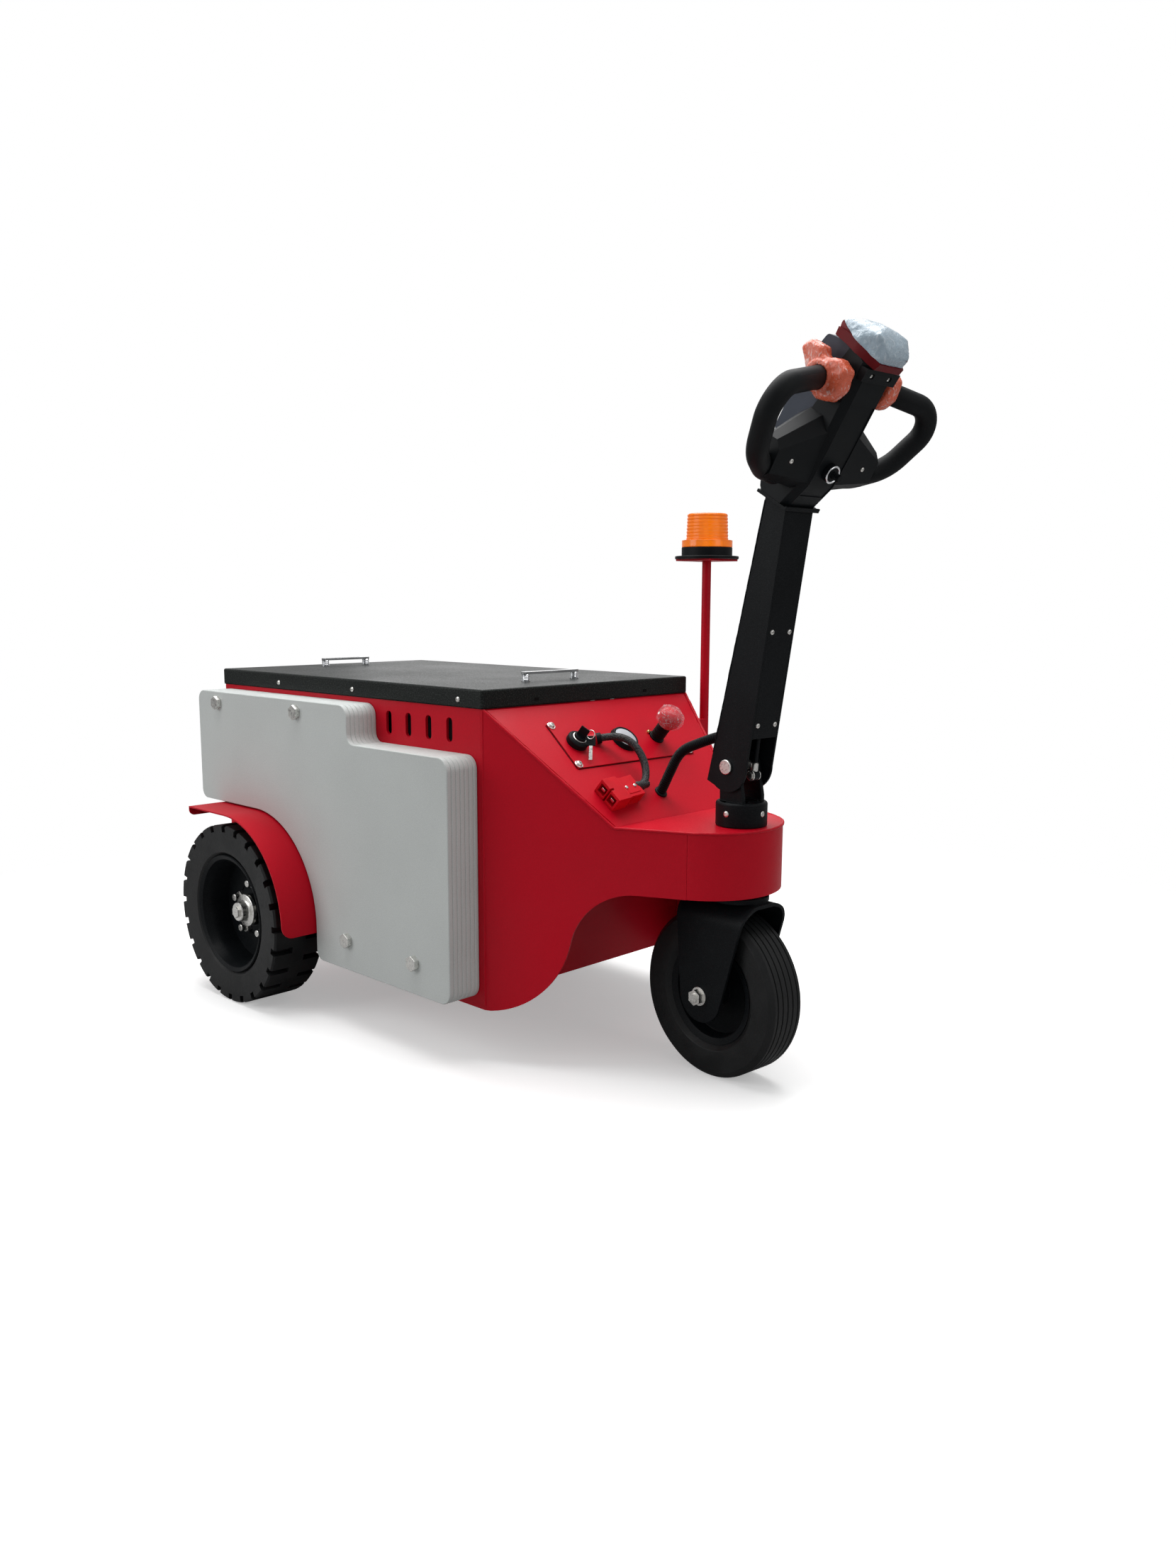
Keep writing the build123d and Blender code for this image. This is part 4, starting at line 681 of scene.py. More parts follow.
def seat(node, start, way):
    """Where a line from a start meets a node's surface, looking out of it."""
    mesh = FRAME["nodes"][node].data
    corners = [vertex.co for vertex in mesh.vertices]
    shape = BVHTree.FromPolygons(corners, [tuple(face.vertices) for face in mesh.polygons])
    place, normal, _, _ = shape.ray_cast(Vector(start), Vector(way).normalized())
    if place is None:
        raise RuntimeError("nothing to seat on: " + node)
    return facing(place, normal)


def seat_on_head(node, a, b, y, way=-1.0):
    """A seat on the head, looked for along its front or rear direction."""
    start = on_head(a, b, y)
    return seat(node, start.translation, start.to_3x3() @ Vector((0, 0, way)))


# ---------------------------------------------------------------- cords
LEAD = [
    on_slope(105.0, -76.0, 9.5),
    on_slope(112.2, -61.6, 21.3),
    on_slope(128.0, -48.0, 36.0),
    on_slope(150.0, -38.0, 42.0),
    on_slope(178.0, -30.0, 36.0),
    on_slope(207.0, -33.0, 24.0),
    on_slope(230.2, -51.4, 14.0),
    on_slope(232.6, -78.7, 14.0),
]
CONDUIT = [
    on_slope(243.1, -5.0, -4.9).translation,
    on_slope(232.1, -5.0, 42.9).translation,
    at(882.0, -3.5, 580.0),
    at(926.0, -1.5, 598.0),
    on_arm(-54.4, 0, 613.0).translation,
    on_arm(-27.0, 0, 618.8).translation,
]
CONDUIT_SPLIT, CONDUIT_WAY = at(904.0, -2.5, 589.0), Vector((44.0, 2.0, 18.0)).normalized()
PLUG = on_slope(236.0, -118.5, 0.0, 4.9)
KEY_TIP = on_slope(160.0, -132.0, 5.0).translation
LID_TABS = (0.0, 56.0)


def lead_and_connector():
    """The sleeved lead, the connector on its end and the clip that it leaves."""
    connector = dressed("power_connector", 0.0011)
    contacts = []
    for side in (-1, 1):
        tongue = block((8.5, 22, 5.5), 1.0)
        contacts.append(settle(tongue, moved(PLUG, side * 12.7, -27, 11.7)))
    contacts = finish(gathered(contacts), "connector_contacts", "chassis", "zinc", look="chrome")
    ridge = block((30, 36, 1.6), 0.7)
    ridge = settle(ridge, moved(PLUG, 1, 15, 24.6))
    ridge = finish(ridge, "connector_ridge", "chassis", "red_plastic")
    tops = [moved(PLUG, 2, y, 26) for y in (4.0, 27.0)]
    screws = finish(copied(screw(3.6, 2.6), tops), "connector_screws", "chassis", "zinc")
    flare = turned([(7.6, -16), (8.2, -8), (10.5, 2), (13.0, 14), (13.4, 22), (12.0, 24)], 28)
    flare.scale = (1.0, 0.72, 1.0)
    settle(flare)
    end = LEAD[-1].translation
    aim = (end - LEAD[-2].translation).normalized()
    flare = settle(flare, facing(end - aim * 20 * MM, aim, (0, 1, 0)))
    lumps(flare, 12.0, 1.2, 2)
    sleeve = finish(flare, "lead_sleeve", "chassis", "rubber", look="braid")
    lead = spline([place.translation for place in LEAD], 7.0)
    lead.name = "battery_lead"
    lead.data.materials.append(FINISH["braid"])
    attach(lead, "chassis")
    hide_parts("connector_lead")
    way = LEAD[1].translation - LEAD[0].translation
    clip = turned([(9.2, -5), (10.4, -4.2), (10.4, 4.2), (9.2, 5)], 28)
    settle(clip, facing(LEAD[0].translation + way.normalized() * 4 * MM, way))
    finish(clip, "lead_clip", "chassis", "black_plastic")
    foot = block((14, 20, 3.0), 1.0)
    settle(foot, on_slope(100.0, -86.0, 3.0, 25.0))
    finish(foot, "lead_clip_foot", "chassis", "black_plastic")
    pin = settle(screw(5.0, 4.0), on_slope(99.0, -89.0, 5.6))
    finish(pin, "lead_clip_screw", "chassis", "zinc")


HOSE_R, RIB_PITCH, RIB_COUNT, HOSE_SIDES = 7.7, 4.0, 54, 20
# each ring of one rib: radius, height
RIB = ((9.2, 0.7), (9.4, 1.6), (9.2, 2.5), (HOSE_R, 3.2), (HOSE_R, RIB_PITCH))


def corrugated_conduit():
    """A ribbed hose along its route, cut into two halves."""
    route = spline(CONDUIT, 0.0)
    bpy.ops.object.select_all(action="DESELECT")
    bpy.ops.mesh.primitive_circle_add(vertices=HOSE_SIDES, radius=HOSE_R * MM, fill_type="NOTHING")
    hose = bpy.context.object
    bpy.ops.object.mode_set(mode="EDIT")
    bpy.ops.mesh.select_all(action="SELECT")
    radius, height = HOSE_R, 0.0
    for wide, high in RIB:
        bpy.ops.mesh.extrude_region_move(
            TRANSFORM_OT_translate={"value": (0, 0, (high - height) * MM)}
        )
        share = wide / radius
        bpy.ops.transform.resize(value=(share, share, 1), center_override=(0, 0, high * MM))
        radius, height = wide, high
    bpy.ops.object.mode_set(mode="OBJECT")
    modified(
        hose,
        "ARRAY",
        count=RIB_COUNT,
        use_relative_offset=False,
        use_constant_offset=True,
        constant_offset_displace=(0, 0, RIB_PITCH * MM),
        use_merge_vertices=True,
        merge_threshold=0.00005,
    )
    modified(hose, "CURVE", object=route, deform_axis="POS_Z")
    bpy.data.objects.remove(route)
    only(hose)
    bpy.ops.object.mode_set(mode="EDIT")
    bpy.ops.mesh.select_all(action="SELECT")
    bpy.ops.mesh.fill_holes(sides=0)
    bpy.ops.mesh.normals_make_consistent(inside=False)
    bpy.ops.object.mode_set(mode="OBJECT")
    smooth(hose, 60)
    upper = bpy.data.objects.new("conduit_upper", hose.data.copy())
    bpy.context.scene.collection.objects.link(upper)
    for piece, clear_far in ((hose, True), (upper, False)):
        only(piece)
        bpy.ops.object.mode_set(mode="EDIT")
        bpy.ops.mesh.select_all(action="SELECT")
        bpy.ops.mesh.bisect(
            plane_co=CONDUIT_SPLIT,
            plane_no=CONDUIT_WAY,
            clear_outer=clear_far,
            clear_inner=not clear_far,
            use_fill=True,
        )
        bpy.ops.object.mode_set(mode="OBJECT")
        piece.data.materials.clear()
        piece.data.materials.append(FINISH["black_plastic"])
    hose.name = "conduit_lower"
    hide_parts("conduit")
    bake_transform(hose)
    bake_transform(upper)
    collar = turned([(12.5, 0), (12.5, 2.0), (11.4, 3.2), (10.4, 3.4)], 28)
    settle(collar, on_slope(242.0, -5.0, 0.1))
    finish(collar, "conduit_grommet", "chassis", "black_plastic")


# ---------------------------------------------------------------- body
def nose_line(z, count=24):
    """Points round the nose at a height, from the right crease to the left one."""
    taper = math.atan2(BODY_HALF, NOSE_X - BODY_FRONT) - math.asin(
        NOSE_R / math.hypot(NOSE_X - BODY_FRONT, BODY_HALF)
    )
    touch = math.pi / 2 - taper
    half = BODY_HALF - (CREASE_X - BODY_FRONT) * math.tan(taper)
    places = [at(CREASE_X, -half, z)]
    for i in range(count + 1):
        turn = -touch + 2 * touch * i / count
        places.append(at(NOSE_X + NOSE_R * math.cos(turn), NOSE_R * math.sin(turn), z))
    return places + [at(CREASE_X, half, z)]


def body_pieces():
    """The painted body with its weld beads."""
    for node in ("side_plate_right", "side_plate_left", "nose_shell", "control_panel"):
        dressed(node, 0.0012)
    for node in ("slope_panel", "body_frame", "steering_housing"):
        dressed(node, 0.0006)
    deck = nose_line(NOSE_TOP - 1.6)
    beads = []
    for side, end in ((-1, deck[0]), (1, deck[-1])):
        top = at(BODY_FRONT, side * (BODY_HALF - 1.5), BODY_TOP - 1.0)
        beads.append(bead([top, end + Vector((0, 0, 0.0006))], 3.0))
        foot = at(BODY_FRONT, side * (BODY_HALF - 0.6), 112.0)
        beads.append(bead([at(BODY_FRONT, side * (BODY_HALF - 0.6), 655.0), foot], 1.6, 8.0, 0.8))
    beads.append(bead(deck, 2.6))
    finish(gathered(beads), "body_welds", "chassis", "red_paint")
    # Dark strips along the control panel's edges: painted shade in the gaps, not a part.
    gap_shade_strips = []
    for y, length, turn in ((-163.0, 108.0, 0.0), (0.0, 322.0, 90.0)):
        strip = block((length, 1.5, 0.5), 0.15)
        gap_shade_strips.append(settle(strip, on_slope(107.0 if y else 162.9, y, 0.0, turn)))
    finish(gathered(gap_shade_strips), "panel_gap_shade", "chassis", "black_plastic")
    screws = [(57.2, -154.0), (153.9, -155.5), (57.2, 154.0), (155.0, 151.4)]
    head = gathered([screw(6.4, 5.4), turned([(8.4, 0), (8.4, 1.0), (7.8, 1.5)], 28)])
    places = [on_slope(s, y, 3.0, 20.0) for s, y in screws]
    finish(copied(head, places), "panel_screws", "chassis", "zinc")


def ballast_pieces(edge):
    """Grey plates, their bolts, and the mudguards over the wheels."""
    for node in ("ballast_plates_odd", "ballast_plates_even"):
        dressed(node, edge, 3, clamp=False)
    dressed("ballast_bolts", 0.0014)
    dressed("fenders", 0.0012)


def lid_pieces(edge):
    """The lid with its rim, fixings and handles."""
    dressed("lid", edge, 3, clamp=False)
    dressed("lid_handles", 0.0012)
    posts = []
    for x, half in ((LID_FRONT - 823.6, 66.0), (LID_FRONT - 118.6, 76.0)):
        for y in (9.0 - half, half - 9.0):
            posts.append(framed((1, 0, 0), (0, 1, 0), (0, 0, 1), at(x, y, LID_TOP)))
    rings = [(9.0, 0.0), (9.0, 1.2)]
    for i in range(4):
        rings += [(7.2, 1.6 + i * 2.8), (8.3, 2.4 + i * 2.8), (8.3, 3.2 + i * 2.8)]
    rings += [(7.4, 12.6), (7.0, 13.0)]
    finish(copied(turned(rings, 28), posts), "handle_posts", "lid", "chrome")
    side = [seat("lid", at(x, -400, 672.0), (0, 1, 0)) for x in (-3.0, 266.5, 593.6)]
    finish(copied(screw(5.0, 3.2), side), "lid_side_screws", "lid", "zinc")
    # The oval holes are flat dark blocks in the shadow finish: painted shade for the depth of the
    # holes.
    front = [seat("lid", at(800, y, 669.0), (-1, 0, 0)) for y in (-150.0, 150.0)]
    oval = block((11, 5.5, 0.5), 0.2)
    rounded_edges(oval, 0.0024, 3, 60)
    finish(copied(oval, front), "lid_oval_hole_shade", "lid", "black_plastic", look="shadow")
    tabs = [at(LID_FRONT - 4.0, y, LID_LOW - 1.2) for y in LID_TABS]
    tab = block((6, 12, 1.2), 0.4)
    finish(copied(tab, [Matrix.Translation(t) for t in tabs]), "lid_tabs", "lid", "zinc")


def control_pieces():
    """Key switch, battery gauge and stop button on the slope."""
    dressed("key_switch", 0.001)
    face = on_slope(103.8, -124.1, 16.0)
    rim = settle(turned([(13.6, -0.5), (13.6, 1.2), (12.6, 1.8), (12.2, 1.8)], 28), face)
    finish(rim, "key_rim", "chassis", "zinc")
    hung = on_slope(113.0, -113.5, 33.0) @ Matrix.Rotation(math.radians(70), 4, "X")
    ring = bar_ring(8.0, 0.8, 28, 8, hung)
    finish(ring, "key_ring", "chassis", "zinc")
    bow = block((17, 3.2, 20), 1.2)
    top = on_slope(116.0, -111.0, 27.0).translation
    hang = facing(top, KEY_TIP - top)
    bow = settle(bow, moved(hang, 0, 0, -4))
    finish(bow, "spare_key_bow", "chassis", "black_plastic")
    blade = block((6.5, 1.8, 30), 0.5)
    finish(settle(blade, moved(hang, 0, 0, 14)), "spare_key_blade", "chassis", "zinc")
    dressed("battery_gauge", 0.0016, 3)
    glass = turned([(22.6, 0), (22.6, 1.0), (19.0, 2.0), (10.0, 2.8), (0.5, 3.0)], 48)
    glass = settle(glass, on_slope(110.0, 0.0, 9.6))
    finish(glass, "gauge_glass", "chassis", "grey_plastic", look="glass")
    place = on_slope(113.3, 89.9, 3.0)
    ribs = [(15.5, 0.0), (15.5, 3.0), (13.6, 3.6)]
    for i in range(4):
        z = 6.0 + i * 7.4
        ribs += [(13.6, z), (13.1, z + 0.4), (13.1, z + 1.2), (13.6, z + 1.6)]
    ribs += [(13.6, 34.6)]
    neck = settle(turned(ribs, 36), place)
    finish(neck, "stop_neck", "chassis", "black_plastic", "emergency_stop")
    dome = [(14.5, 34.0), (17.5, 38.0), (19.0, 41.5), (22.0, 45.0), (22.7, 49.0)]
    dome += [(22.7, 56.0), (21.6, 61.0), (19.0, 65.5), (14.5, 69.0), (8.0, 71.2), (0.8, 72.0)]
    finish(settle(turned(dome, 40), place), "stop_head", "chassis", "red_plastic")
    wrap = [(r * 1.14 + 0.8, z + (z - 45.0) * 0.12) for r, z in dome[1:]]
    film = turned([(15.0, 37.0), *wrap], 64)
    modified(film, "SUBSURF", levels=1, render_levels=1)
    lumps(film, 7.0, 5.0, 4)
    lumps(film, 18.0, 4.0, 9)
    smooth(film, 50)
    finish(settle(film, place), "stop_film", "chassis", "red_plastic", look="clear_film")
    brass = [on_slope(98.7, 78.4, 3.0), on_slope(103.9, 118.5, 3.0)]
    finish(copied(screw(4.0, 5.0), brass), "brass_screws", "chassis", "zinc", look="brass")


def beacon_pieces():
    """The pole and the amber lamp on it."""
    dressed("beacon_pole", 0.001)
    dressed("beacon_base", 0.0015, 3)
    dressed("beacon_lens", 0.0009)
    corners = [(x, y) for x in (-38.0, 38.0) for y in (-38.0, 38.0)]
    places = [Matrix.Translation(at(687.7 + x, 305.8 + y, 933.0)) for x, y in corners]
    finish(copied(bolt(5.0, 3.5, 7.0), places), "beacon_bolts", "chassis", "zinc")


# ---------------------------------------------------------------- wheels
DISC_Y, STUD_RING, STUDS = 353.0, 57.0, 5
GROOVES, GROOVE_R, GROOVE_WIDE, GROOVE_DEEP = (-26.0, -13.0, 0.0, 13.0, 26.0), 158.0, 2.4, 7.5
HUB_CAP = [(34.7, 27), (34.7, 34.2), (33.5, 35), (24, 35.2), (22, 36.4), (20.7, 38)]
HUB_CAP += [(20.7, 51), (19, 53), (0.6, 53)]


def wheel_pieces():
    """Lugged rear tyres, grooved front tyre, rims and their nuts."""
    for side, name in ((-1, "right"), (1, "left")):
        dressed("rear_tyre_" + name, 0.0022, 2)
        dressed("rear_rim_" + name, 0.0012)
        hub = at(0, side * DISC_Y, 190.0)
        stud = turned([(7.5, 14), (7.5, 28.2), (6.6, 29), (0.6, 29)], 20)
        nut = gathered([bolt(12.6, 17.0, 14.5), stud])
        places = []
        for i in range(STUDS):
            turn = math.radians(90 + 360 / STUDS * i)
            shift = Vector((math.cos(turn), 0, math.sin(turn))) * STUD_RING * MM
            places.append(facing(hub + shift, (0, side, 0)))
        finish(copied(nut, places), "wheel_nuts_" + name, "rear_wheel_" + name, "zinc")
        cap = turned(HUB_CAP, 40)
        end = settle(bolt(13.0, 6.0), moved(Matrix(), 0, 0, 52.5))
        cap = settle(gathered([cap, end]), facing(hub, (0, side, 0)))
        finish(cap, "hub_cap_" + name, "rear_wheel_" + name, "zinc")
    tyre = from_node("front_tyre", "front_tyre_dressed")
    turn = STEERED.to_3x3()
    grooves = []
    for y in GROOVES:
        bpy.ops.object.select_all(action="DESELECT")
        bpy.ops.mesh.primitive_cylinder_add(
            vertices=96, radius=GROOVE_R * MM, depth=GROOVE_WIDE * MM, end_fill_type="NOTHING"
        )
        band = bpy.context.object
        only(band)
        modified(band, "SOLIDIFY", thickness=GROOVE_DEEP * MM, offset=-1.0)
        origin = FRONT_HUB + turn @ Vector((0, y * MM, 0))
        grooves.append(settle(band, facing(origin, turn @ Vector((0, 1, 0)))))
    cut_by(tyre, gathered(grooves))
    rounded_edges(tyre, 0.001)
    finish(tyre, "front_tyre_dressed", "front_wheel", "rubber", "front_tyre")
    dressed("front_rim", 0.0012)
    dressed("front_axle", 0.001)


# ---------------------------------------------------------------- steering and tiller
def steering_pieces():
    """Fork, steering disc and the yoke that the tiller hinges on."""
    dressed("fork", 0.0014)
    dressed("tiller_yoke", 0.0014, 3)
    places = []
    for angle in (-84.0, 4.0, 94.0, 184.0):
        turn = math.radians(angle)
        out = STEERED.to_3x3() @ Vector((math.cos(turn), math.sin(turn), 0))
        origin = on_arm(60 * math.cos(turn), 60 * math.sin(turn), 486.0).translation
        places.append(seat("tiller_yoke", origin, -out))
    finish(copied(screw(5.2, 1.4), places), "disc_set_screws", "steering", "zinc")
    beads = []
    for side in (-1, 1):
        ear = [on_arm(x, side * y, 506.0).translation for x, y in ((-25, 21.5), (26, 21.5))]
        beads.append(bead(ear, 2.4, 4.0, 1.8))
        ear = [on_arm(x, side * y, 506.0).translation for x, y in ((-25, 12.6), (26, 12.6))]
        beads.append(bead(ear, 2.0, 4.0, 1.6))
    finish(gathered(beads), "yoke_welds", "steering", "black_steel")


def tiller_pieces():
    """The arm with its cover, pin and gas spring."""
    dressed("tiller_arm", 0.0014)
    dressed("tiller_cover", 0.0008)
    dressed("tiller_pin", 0.0016, 3)
    dressed("gas_spring", 0.0006)
    places = []
    for z in (641.0, 798.5):
        for y in (-22.0, 22.0):
            origin = on_arm(150, y, z).translation
            places.append(seat("tiller_cover", origin, STEERED.to_3x3() @ Vector((-1, 0, 0))))
    finish(copied(screw(4.6, 2.6), places), "cover_screws", "tiller", "zinc")
    foot = on_arm(26.0, 0, 552.0)
    across = STEERED.to_3x3() @ Vector((0, 1, 0))
    ends = [
        facing(foot.translation + across * (side * 7.0 * MM), across * side) for side in (-1, 1)
    ]
    finish(copied(bolt(7.0, 5.0, 9.0), ends), "spring_foot_nuts", "tiller", "zinc")
    collar = turned([(6.0, 0), (6.4, 1.0), (6.4, 13.0), (5.0, 14.5)], 24)
    way = on_arm(66.0, 0, 860.0).translation - foot.translation
    settle(collar, facing(foot.translation + way.normalized() * 8 * MM, way))
    finish(collar, "spring_foot_collar", "tiller", "zinc")
    beads = []
    for side in (-1, 1):
        low = on_arm(-37.0, side * 35.2, 590.0).translation
        high = on_arm(66.5, side * 35.2, 1012.0).translation
        beads.append(bead([low, high], 1.1, 7.0, 0.9))
    finish(gathered(beads), "arm_welds", "tiller", "black_steel")


FILM_SLANT = math.radians(19)


def head_pieces():
    """Moulded head with its console, loops, rockers, lock and safety button."""
    dressed("head_shell", 0.0035, 3)
    dressed("head_console", 0.004, 3)
    loops = from_node("handle_loops", "handle_loops_dressed")
    smooth(loops, 40)
    name = "handle_loops_dressed"
    finish(loops, name, "tiller", "black_plastic", "handle_loops", look="grip_rubber")
    dressed("head_lock", 0.001)
    ring = bar_ring(13.4, 1.8, 40, 10, on_head(72.0, 62.2))
    finish(ring, "lock_ring", "tiller", "zinc", look="chrome")
    seats = [seat_on_head("head_shell", 80.0, 120.0, y) for y in (-90.0, 90.0)]
    seats += [seat_on_head("head_shell", 231.0, 120.0, y) for y in (-21.5, 21.5)]
    finish(copied(screw(4.0, 1.8), seats), "head_screws", "tiller", "zinc")
    knob = turned([(9.5, -2), (9.5, 3.0), (8.4, 6.0), (5.0, 7.6), (0.5, 8.0)], 28)
    settle(knob, seat_on_head("head_console", 112.0, -160.0, -8.0, 1.0))
    finish(knob, "horn_button", "tiller", "red_plastic", look="dark_red")
    rockers = from_node("butterfly_grips", "rockers")
    modified(rockers, "REMESH", mode="VOXEL", voxel_size=0.002)
    modified(rockers, "SMOOTH", factor=0.5, iterations=2)
    lumps(rockers, 14.0, 2.4, 1)
    lumps(rockers, 5.0, 1.0, 6)
    smooth(rockers, 60)
    finish(rockers, "rockers", "tiller", "pink_plastic", "butterfly_grips")
    dressed("belly_button", 0.003, 3, look="dark_red")
    film = from_node("belly_button", "button_film")
    modified(film, "REMESH", mode="VOXEL", voxel_size=0.002)
    modified(film, "SMOOTH", factor=0.5, iterations=8)
    only(film)
    bpy.ops.object.mode_set(mode="EDIT")
    bpy.ops.mesh.select_all(action="SELECT")
    cut = on_head(271.5, 26.0)
    slant = cut.to_3x3() @ Vector((0, math.cos(FILM_SLANT), math.sin(FILM_SLANT)))
    bpy.ops.mesh.bisect(plane_co=cut.translation, plane_no=slant, clear_inner=True, use_fill=True)
    bpy.ops.object.mode_set(mode="OBJECT")
    modified(film, "DISPLACE", strength=0.0016, mid_level=0.0)
    lumps(film, 18.0, 2.6, 8)
    lumps(film, 7.0, 0.9, 2)
    smooth(film, 60)
    finish(film, "button_film", "tiller", "blue_film")


def rear_pieces():
    """Tow hitch, battery and drive."""
    for node in ("tow_hitch", "hitch_pin", "drive_axle", "battery"):
        dressed(node, 0.0015)


# ---------------------------------------------------------------- steps
class TugFinish(bpy.types.PropertyGroup):
    """Colours and small sizes that a user would change."""

    red: bpy.props.FloatVectorProperty(
        name="Body red",
        description="Colour of the painted body",
        subtype="COLOR",
        default=(0.5, 0.002, 0.014),
    )
    grey: bpy.props.FloatVectorProperty(
        name="Ballast grey",
        description="Colour of the ballast plates",
        subtype="COLOR",
        default=(0.52, 0.545, 0.535),
    )
    plate_edge: bpy.props.FloatProperty(
        name="Plate edge",
        description="Radius of the ballast plates' edges",
        subtype="DISTANCE",
        unit="LENGTH",
        default=0.0021,
    )
    lid_edge: bpy.props.FloatProperty(
        name="Lid edge",
        description="Radius of the lid's folded edges",
        subtype="DISTANCE",
        unit="LENGTH",
        default=0.0026,
    )


def floor():
    """A pale floor that keeps the shadow and runs out into white."""
    bpy.ops.object.select_all(action="DESELECT")
    bpy.ops.mesh.primitive_plane_add(size=120.0)
    ground = bpy.context.object
    ground.name = "floor"
    s = Surface("floor", (0.9, 0.9, 0.9), 0.9, specular_ior_level=0.0, emission_strength=1.0)
    seen = Mask(s.tree, s.node("ShaderNodeLightPath").outputs["Is Camera Ray"])
    x, y = s.axis("X"), s.axis("Y")
    far = ((x * x + y * y) ** 0.5).step(0.95, 2.1)
    near, black, white = (0.9, 0.9, 0.9), (0.0, 0.0, 0.0), (1.0, 1.0, 1.0)
    s.set(base_color=s.blend(seen, (0.4, 0.4, 0.4), s.blend(far, near, black)))
    s.set(emission_color=s.blend(seen, black, s.blend(far, (0.34, 0.34, 0.34), white)))
    ground.data.materials.append(s.material)


def daylight():
    """White surroundings, and four wide lamps."""
    world = bpy.context.scene.world or bpy.data.worlds.new("World")
    bpy.context.scene.world = world
    world.use_nodes = True
    tree = world.node_tree
    background = tree.nodes["Background"]
    rays = tree.nodes.new("ShaderNodeLightPath")
    seen = Mask(tree, rays.outputs["Is Camera Ray"])
    mirrored = Mask(tree, rays.outputs["Is Glossy Ray"])
    through = Mask(tree, rays.outputs["Is Transmission Ray"])
    shown = (seen + mirrored * 0.2 + through * 0.7).step(0.0, 1.0)
    connect(tree, background.inputs["Strength"], shown * 0.68 + 0.32)
    background.inputs["Color"].default_value = (1.0, 1.0, 1.0, 1.0)
    # each lamp: name, place, what it lights, size and power
    lamps = [
        ("overhead", (-0.3, 0.3, 3.4), (0, 0, 0.4), 3.2, 140.0),
        ("side", (-1.8, -3.4, 2.0), (-0.2, 0, 0.4), 2.4, 48.0),
        ("front", (3.4, 0.2, 1.7), (0.3, 0, 0.6), 1.6, 11.0),
        ("back", (-3.0, 3.1, 1.5), (0, 0, 0.6), 2.4, 13.0),
    ]
    for name, place, aim, size, power in lamps:
        bpy.ops.object.light_add(type="AREA", location=place)
        lamp = bpy.context.object
        lamp.name = name
        lamp.data.size = size
        lamp.data.energy = power
        lamp.visible_camera = False
        aimed = Vector(aim) - Vector(place)
        lamp.rotation_euler = aimed.to_track_quat("-Z", "Y").to_euler()


def camera():
    """A camera at the front right corner, at chest height."""
    bpy.ops.object.camera_add(location=CAMERA_PLACE)
    made = bpy.context.object
    back = Vector(
        (
            math.sin(CAMERA_AZIMUTH) * math.cos(CAMERA_FALL),
            -math.cos(CAMERA_AZIMUTH) * math.cos(CAMERA_FALL),
            math.sin(CAMERA_FALL),
        )
    )
    turn = (-back).to_track_quat("-Z", "Y").to_matrix() @ Matrix.Rotation(CAMERA_ROLL, 3, "Z")
    made.rotation_euler = turn.to_euler()
    made.data.sensor_width = CAMERA_SENSOR
    made.data.lens = CAMERA_LENS
    made.data.clip_end = 200.0
    bpy.context.scene.camera = made


class TUG_OT_camera(bpy.types.Operator):
    """Camera and materials"""

    bl_idname = "tug.camera"
    bl_label = "Camera and materials"

    def execute(self, context):
        camera()
        make_finishes(context.scene.tug)
        return {"FINISHED"}


class TUG_OT_leads(bpy.types.Operator):
    """Battery lead, connector and clip"""

    bl_idname = "tug.leads"
    bl_label = "Battery lead"

    def execute(self, context):
        lead_and_connector()
        return {"FINISHED"}


class TUG_OT_conduit(bpy.types.Operator):
    """Corrugated conduit from the slope to the tiller"""

    bl_idname = "tug.conduit"
    bl_label = "Conduit"

    def execute(self, context):
        corrugated_conduit()
        return {"FINISHED"}


class TUG_OT_body(bpy.types.Operator):
    """Painted body with its weld beads"""

    bl_idname = "tug.body"
    bl_label = "Body"

    def execute(self, context):
        body_pieces()
        return {"FINISHED"}


class TUG_OT_ballast(bpy.types.Operator):
    """Ballast plates, bolts and mudguards"""

    bl_idname = "tug.ballast"
    bl_label = "Ballast"

    def execute(self, context):
        ballast_pieces(context.scene.tug.plate_edge)
        return {"FINISHED"}


class TUG_OT_lid(bpy.types.Operator):
    """Lid, rim, handles and fixings"""

    bl_idname = "tug.lid"
    bl_label = "Lid"

    def execute(self, context):
        lid_pieces(context.scene.tug.lid_edge)
        return {"FINISHED"}


class TUG_OT_controls(bpy.types.Operator):
    """Key switch, gauge and stop button"""

    bl_idname = "tug.controls"
    bl_label = "Controls"

    def execute(self, context):
        control_pieces()
        return {"FINISHED"}


class TUG_OT_beacon(bpy.types.Operator):
    """Beacon on its pole"""

    bl_idname = "tug.beacon"
    bl_label = "Beacon"

    def execute(self, context):
        beacon_pieces()
        return {"FINISHED"}


class TUG_OT_wheels(bpy.types.Operator):
    """Tyres, rims and nuts"""

    bl_idname = "tug.wheels"
    bl_label = "Wheels"

    def execute(self, context):
        wheel_pieces()
        return {"FINISHED"}


class TUG_OT_steering(bpy.types.Operator):
    """Fork, steering disc and tiller yoke"""

    bl_idname = "tug.steering"
    bl_label = "Steering"

    def execute(self, context):
        steering_pieces()
        return {"FINISHED"}


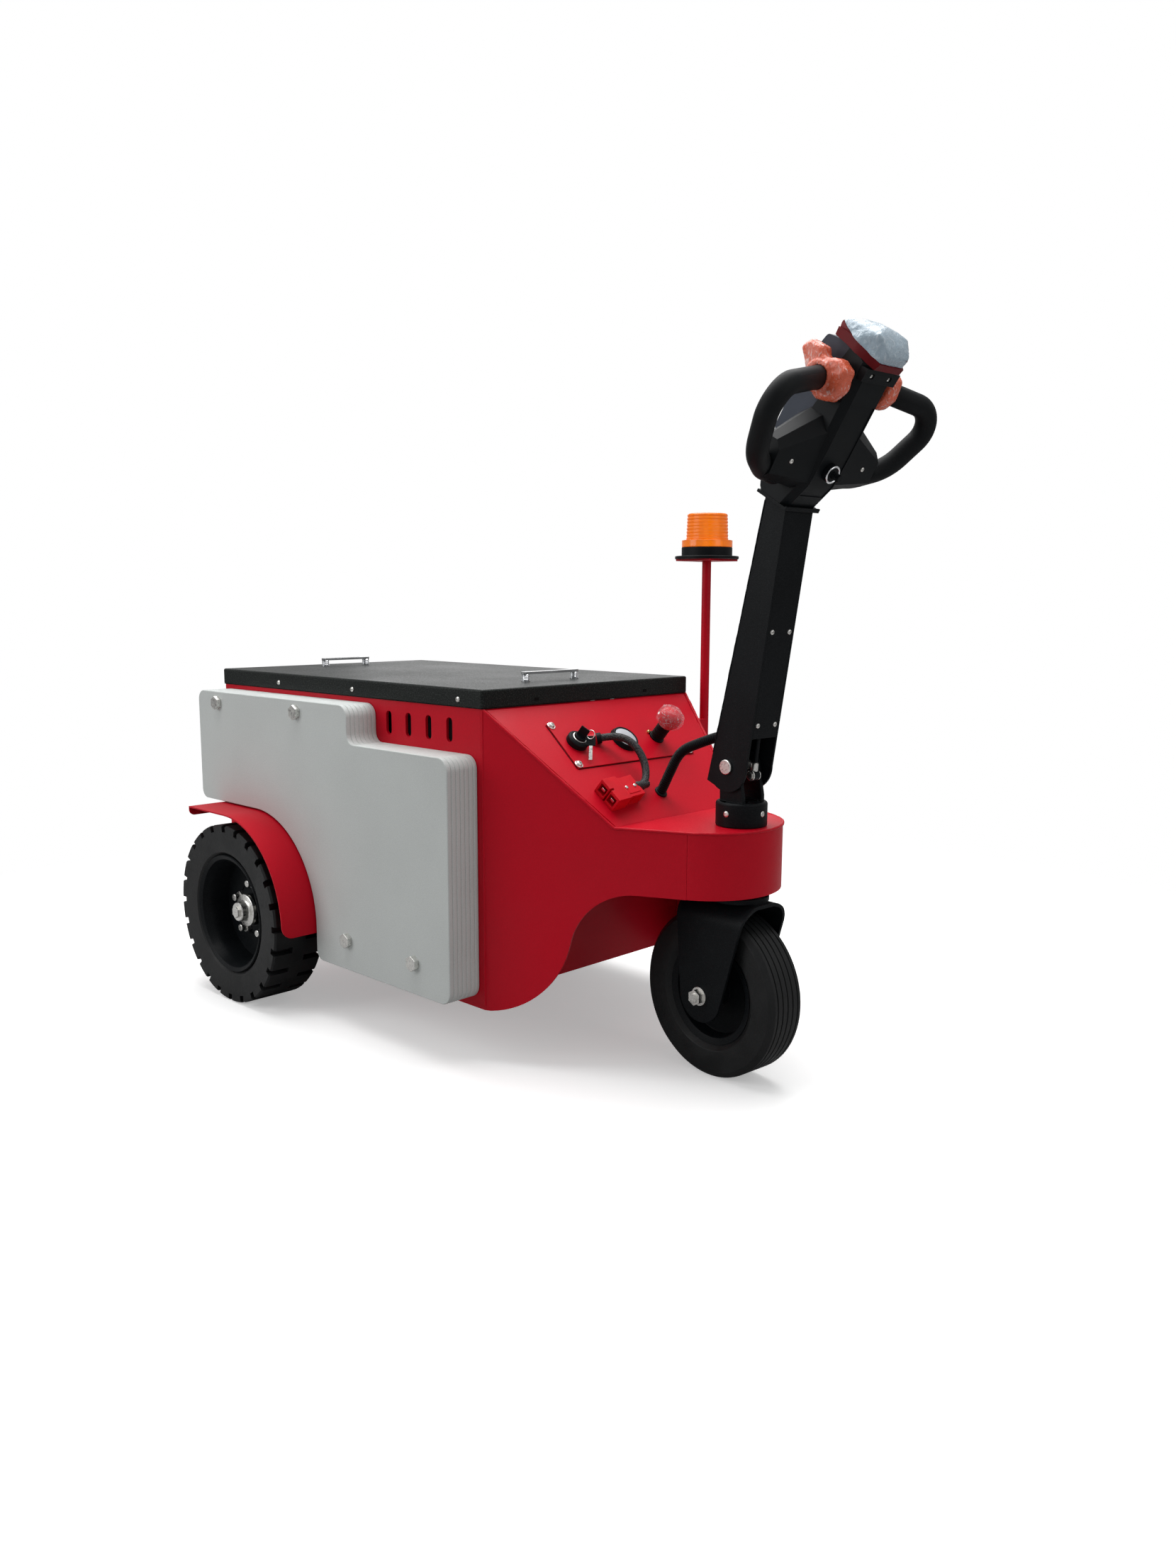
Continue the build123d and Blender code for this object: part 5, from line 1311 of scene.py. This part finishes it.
class TUG_OT_tiller(bpy.types.Operator):
    """Tiller arm, cover and gas spring"""

    bl_idname = "tug.tiller"
    bl_label = "Tiller"

    def execute(self, context):
        tiller_pieces()
        return {"FINISHED"}


class TUG_OT_head(bpy.types.Operator):
    """Moulded head with loops, rockers and safety button"""

    bl_idname = "tug.head"
    bl_label = "Tiller head"

    def execute(self, context):
        head_pieces()
        return {"FINISHED"}


class TUG_OT_rear(bpy.types.Operator):
    """Tow hitch, drive and battery"""

    bl_idname = "tug.rear"
    bl_label = "Rear"

    def execute(self, context):
        rear_pieces()
        return {"FINISHED"}


class TUG_OT_stage(bpy.types.Operator):
    """Floor and soft lights"""

    bl_idname = "tug.stage"
    bl_label = "Stage"

    def execute(self, context):
        floor()
        daylight()
        return {"FINISHED"}


class TUG_PT_panel(bpy.types.Panel):
    """Lists the steps that finish the tug"""

    bl_label = "Tow tug"
    bl_space_type = "VIEW_3D"
    bl_region_type = "UI"
    bl_category = "Tow tug"

    def draw(self, context):
        for name in TugFinish.__annotations__:
            self.layout.prop(context.scene.tug, name)
        for step in STEPS:
            self.layout.operator(step.bl_idname)


STEPS = (
    TUG_OT_camera,
    TUG_OT_leads,
    TUG_OT_conduit,
    TUG_OT_body,
    TUG_OT_ballast,
    TUG_OT_lid,
    TUG_OT_controls,
    TUG_OT_beacon,
    TUG_OT_wheels,
    TUG_OT_steering,
    TUG_OT_tiller,
    TUG_OT_head,
    TUG_OT_rear,
    TUG_OT_stage,
)
CLASSES = (TugFinish, *STEPS, TUG_PT_panel)


def register():
    for each in CLASSES:
        bpy.utils.register_class(each)
    bpy.types.Scene.tug = bpy.props.PointerProperty(type=TugFinish)


def unregister():
    del bpy.types.Scene.tug
    for each in reversed(CLASSES):
        bpy.utils.unregister_class(each)


def main():
    """Make every piece in order."""
    register()
    bpy.context.scene.view_settings.view_transform = "Standard"
    for step in STEPS:
        group, name = step.bl_idname.split(".")
        getattr(getattr(bpy.ops, group), name)()


if __name__ == "__main__":
    main()
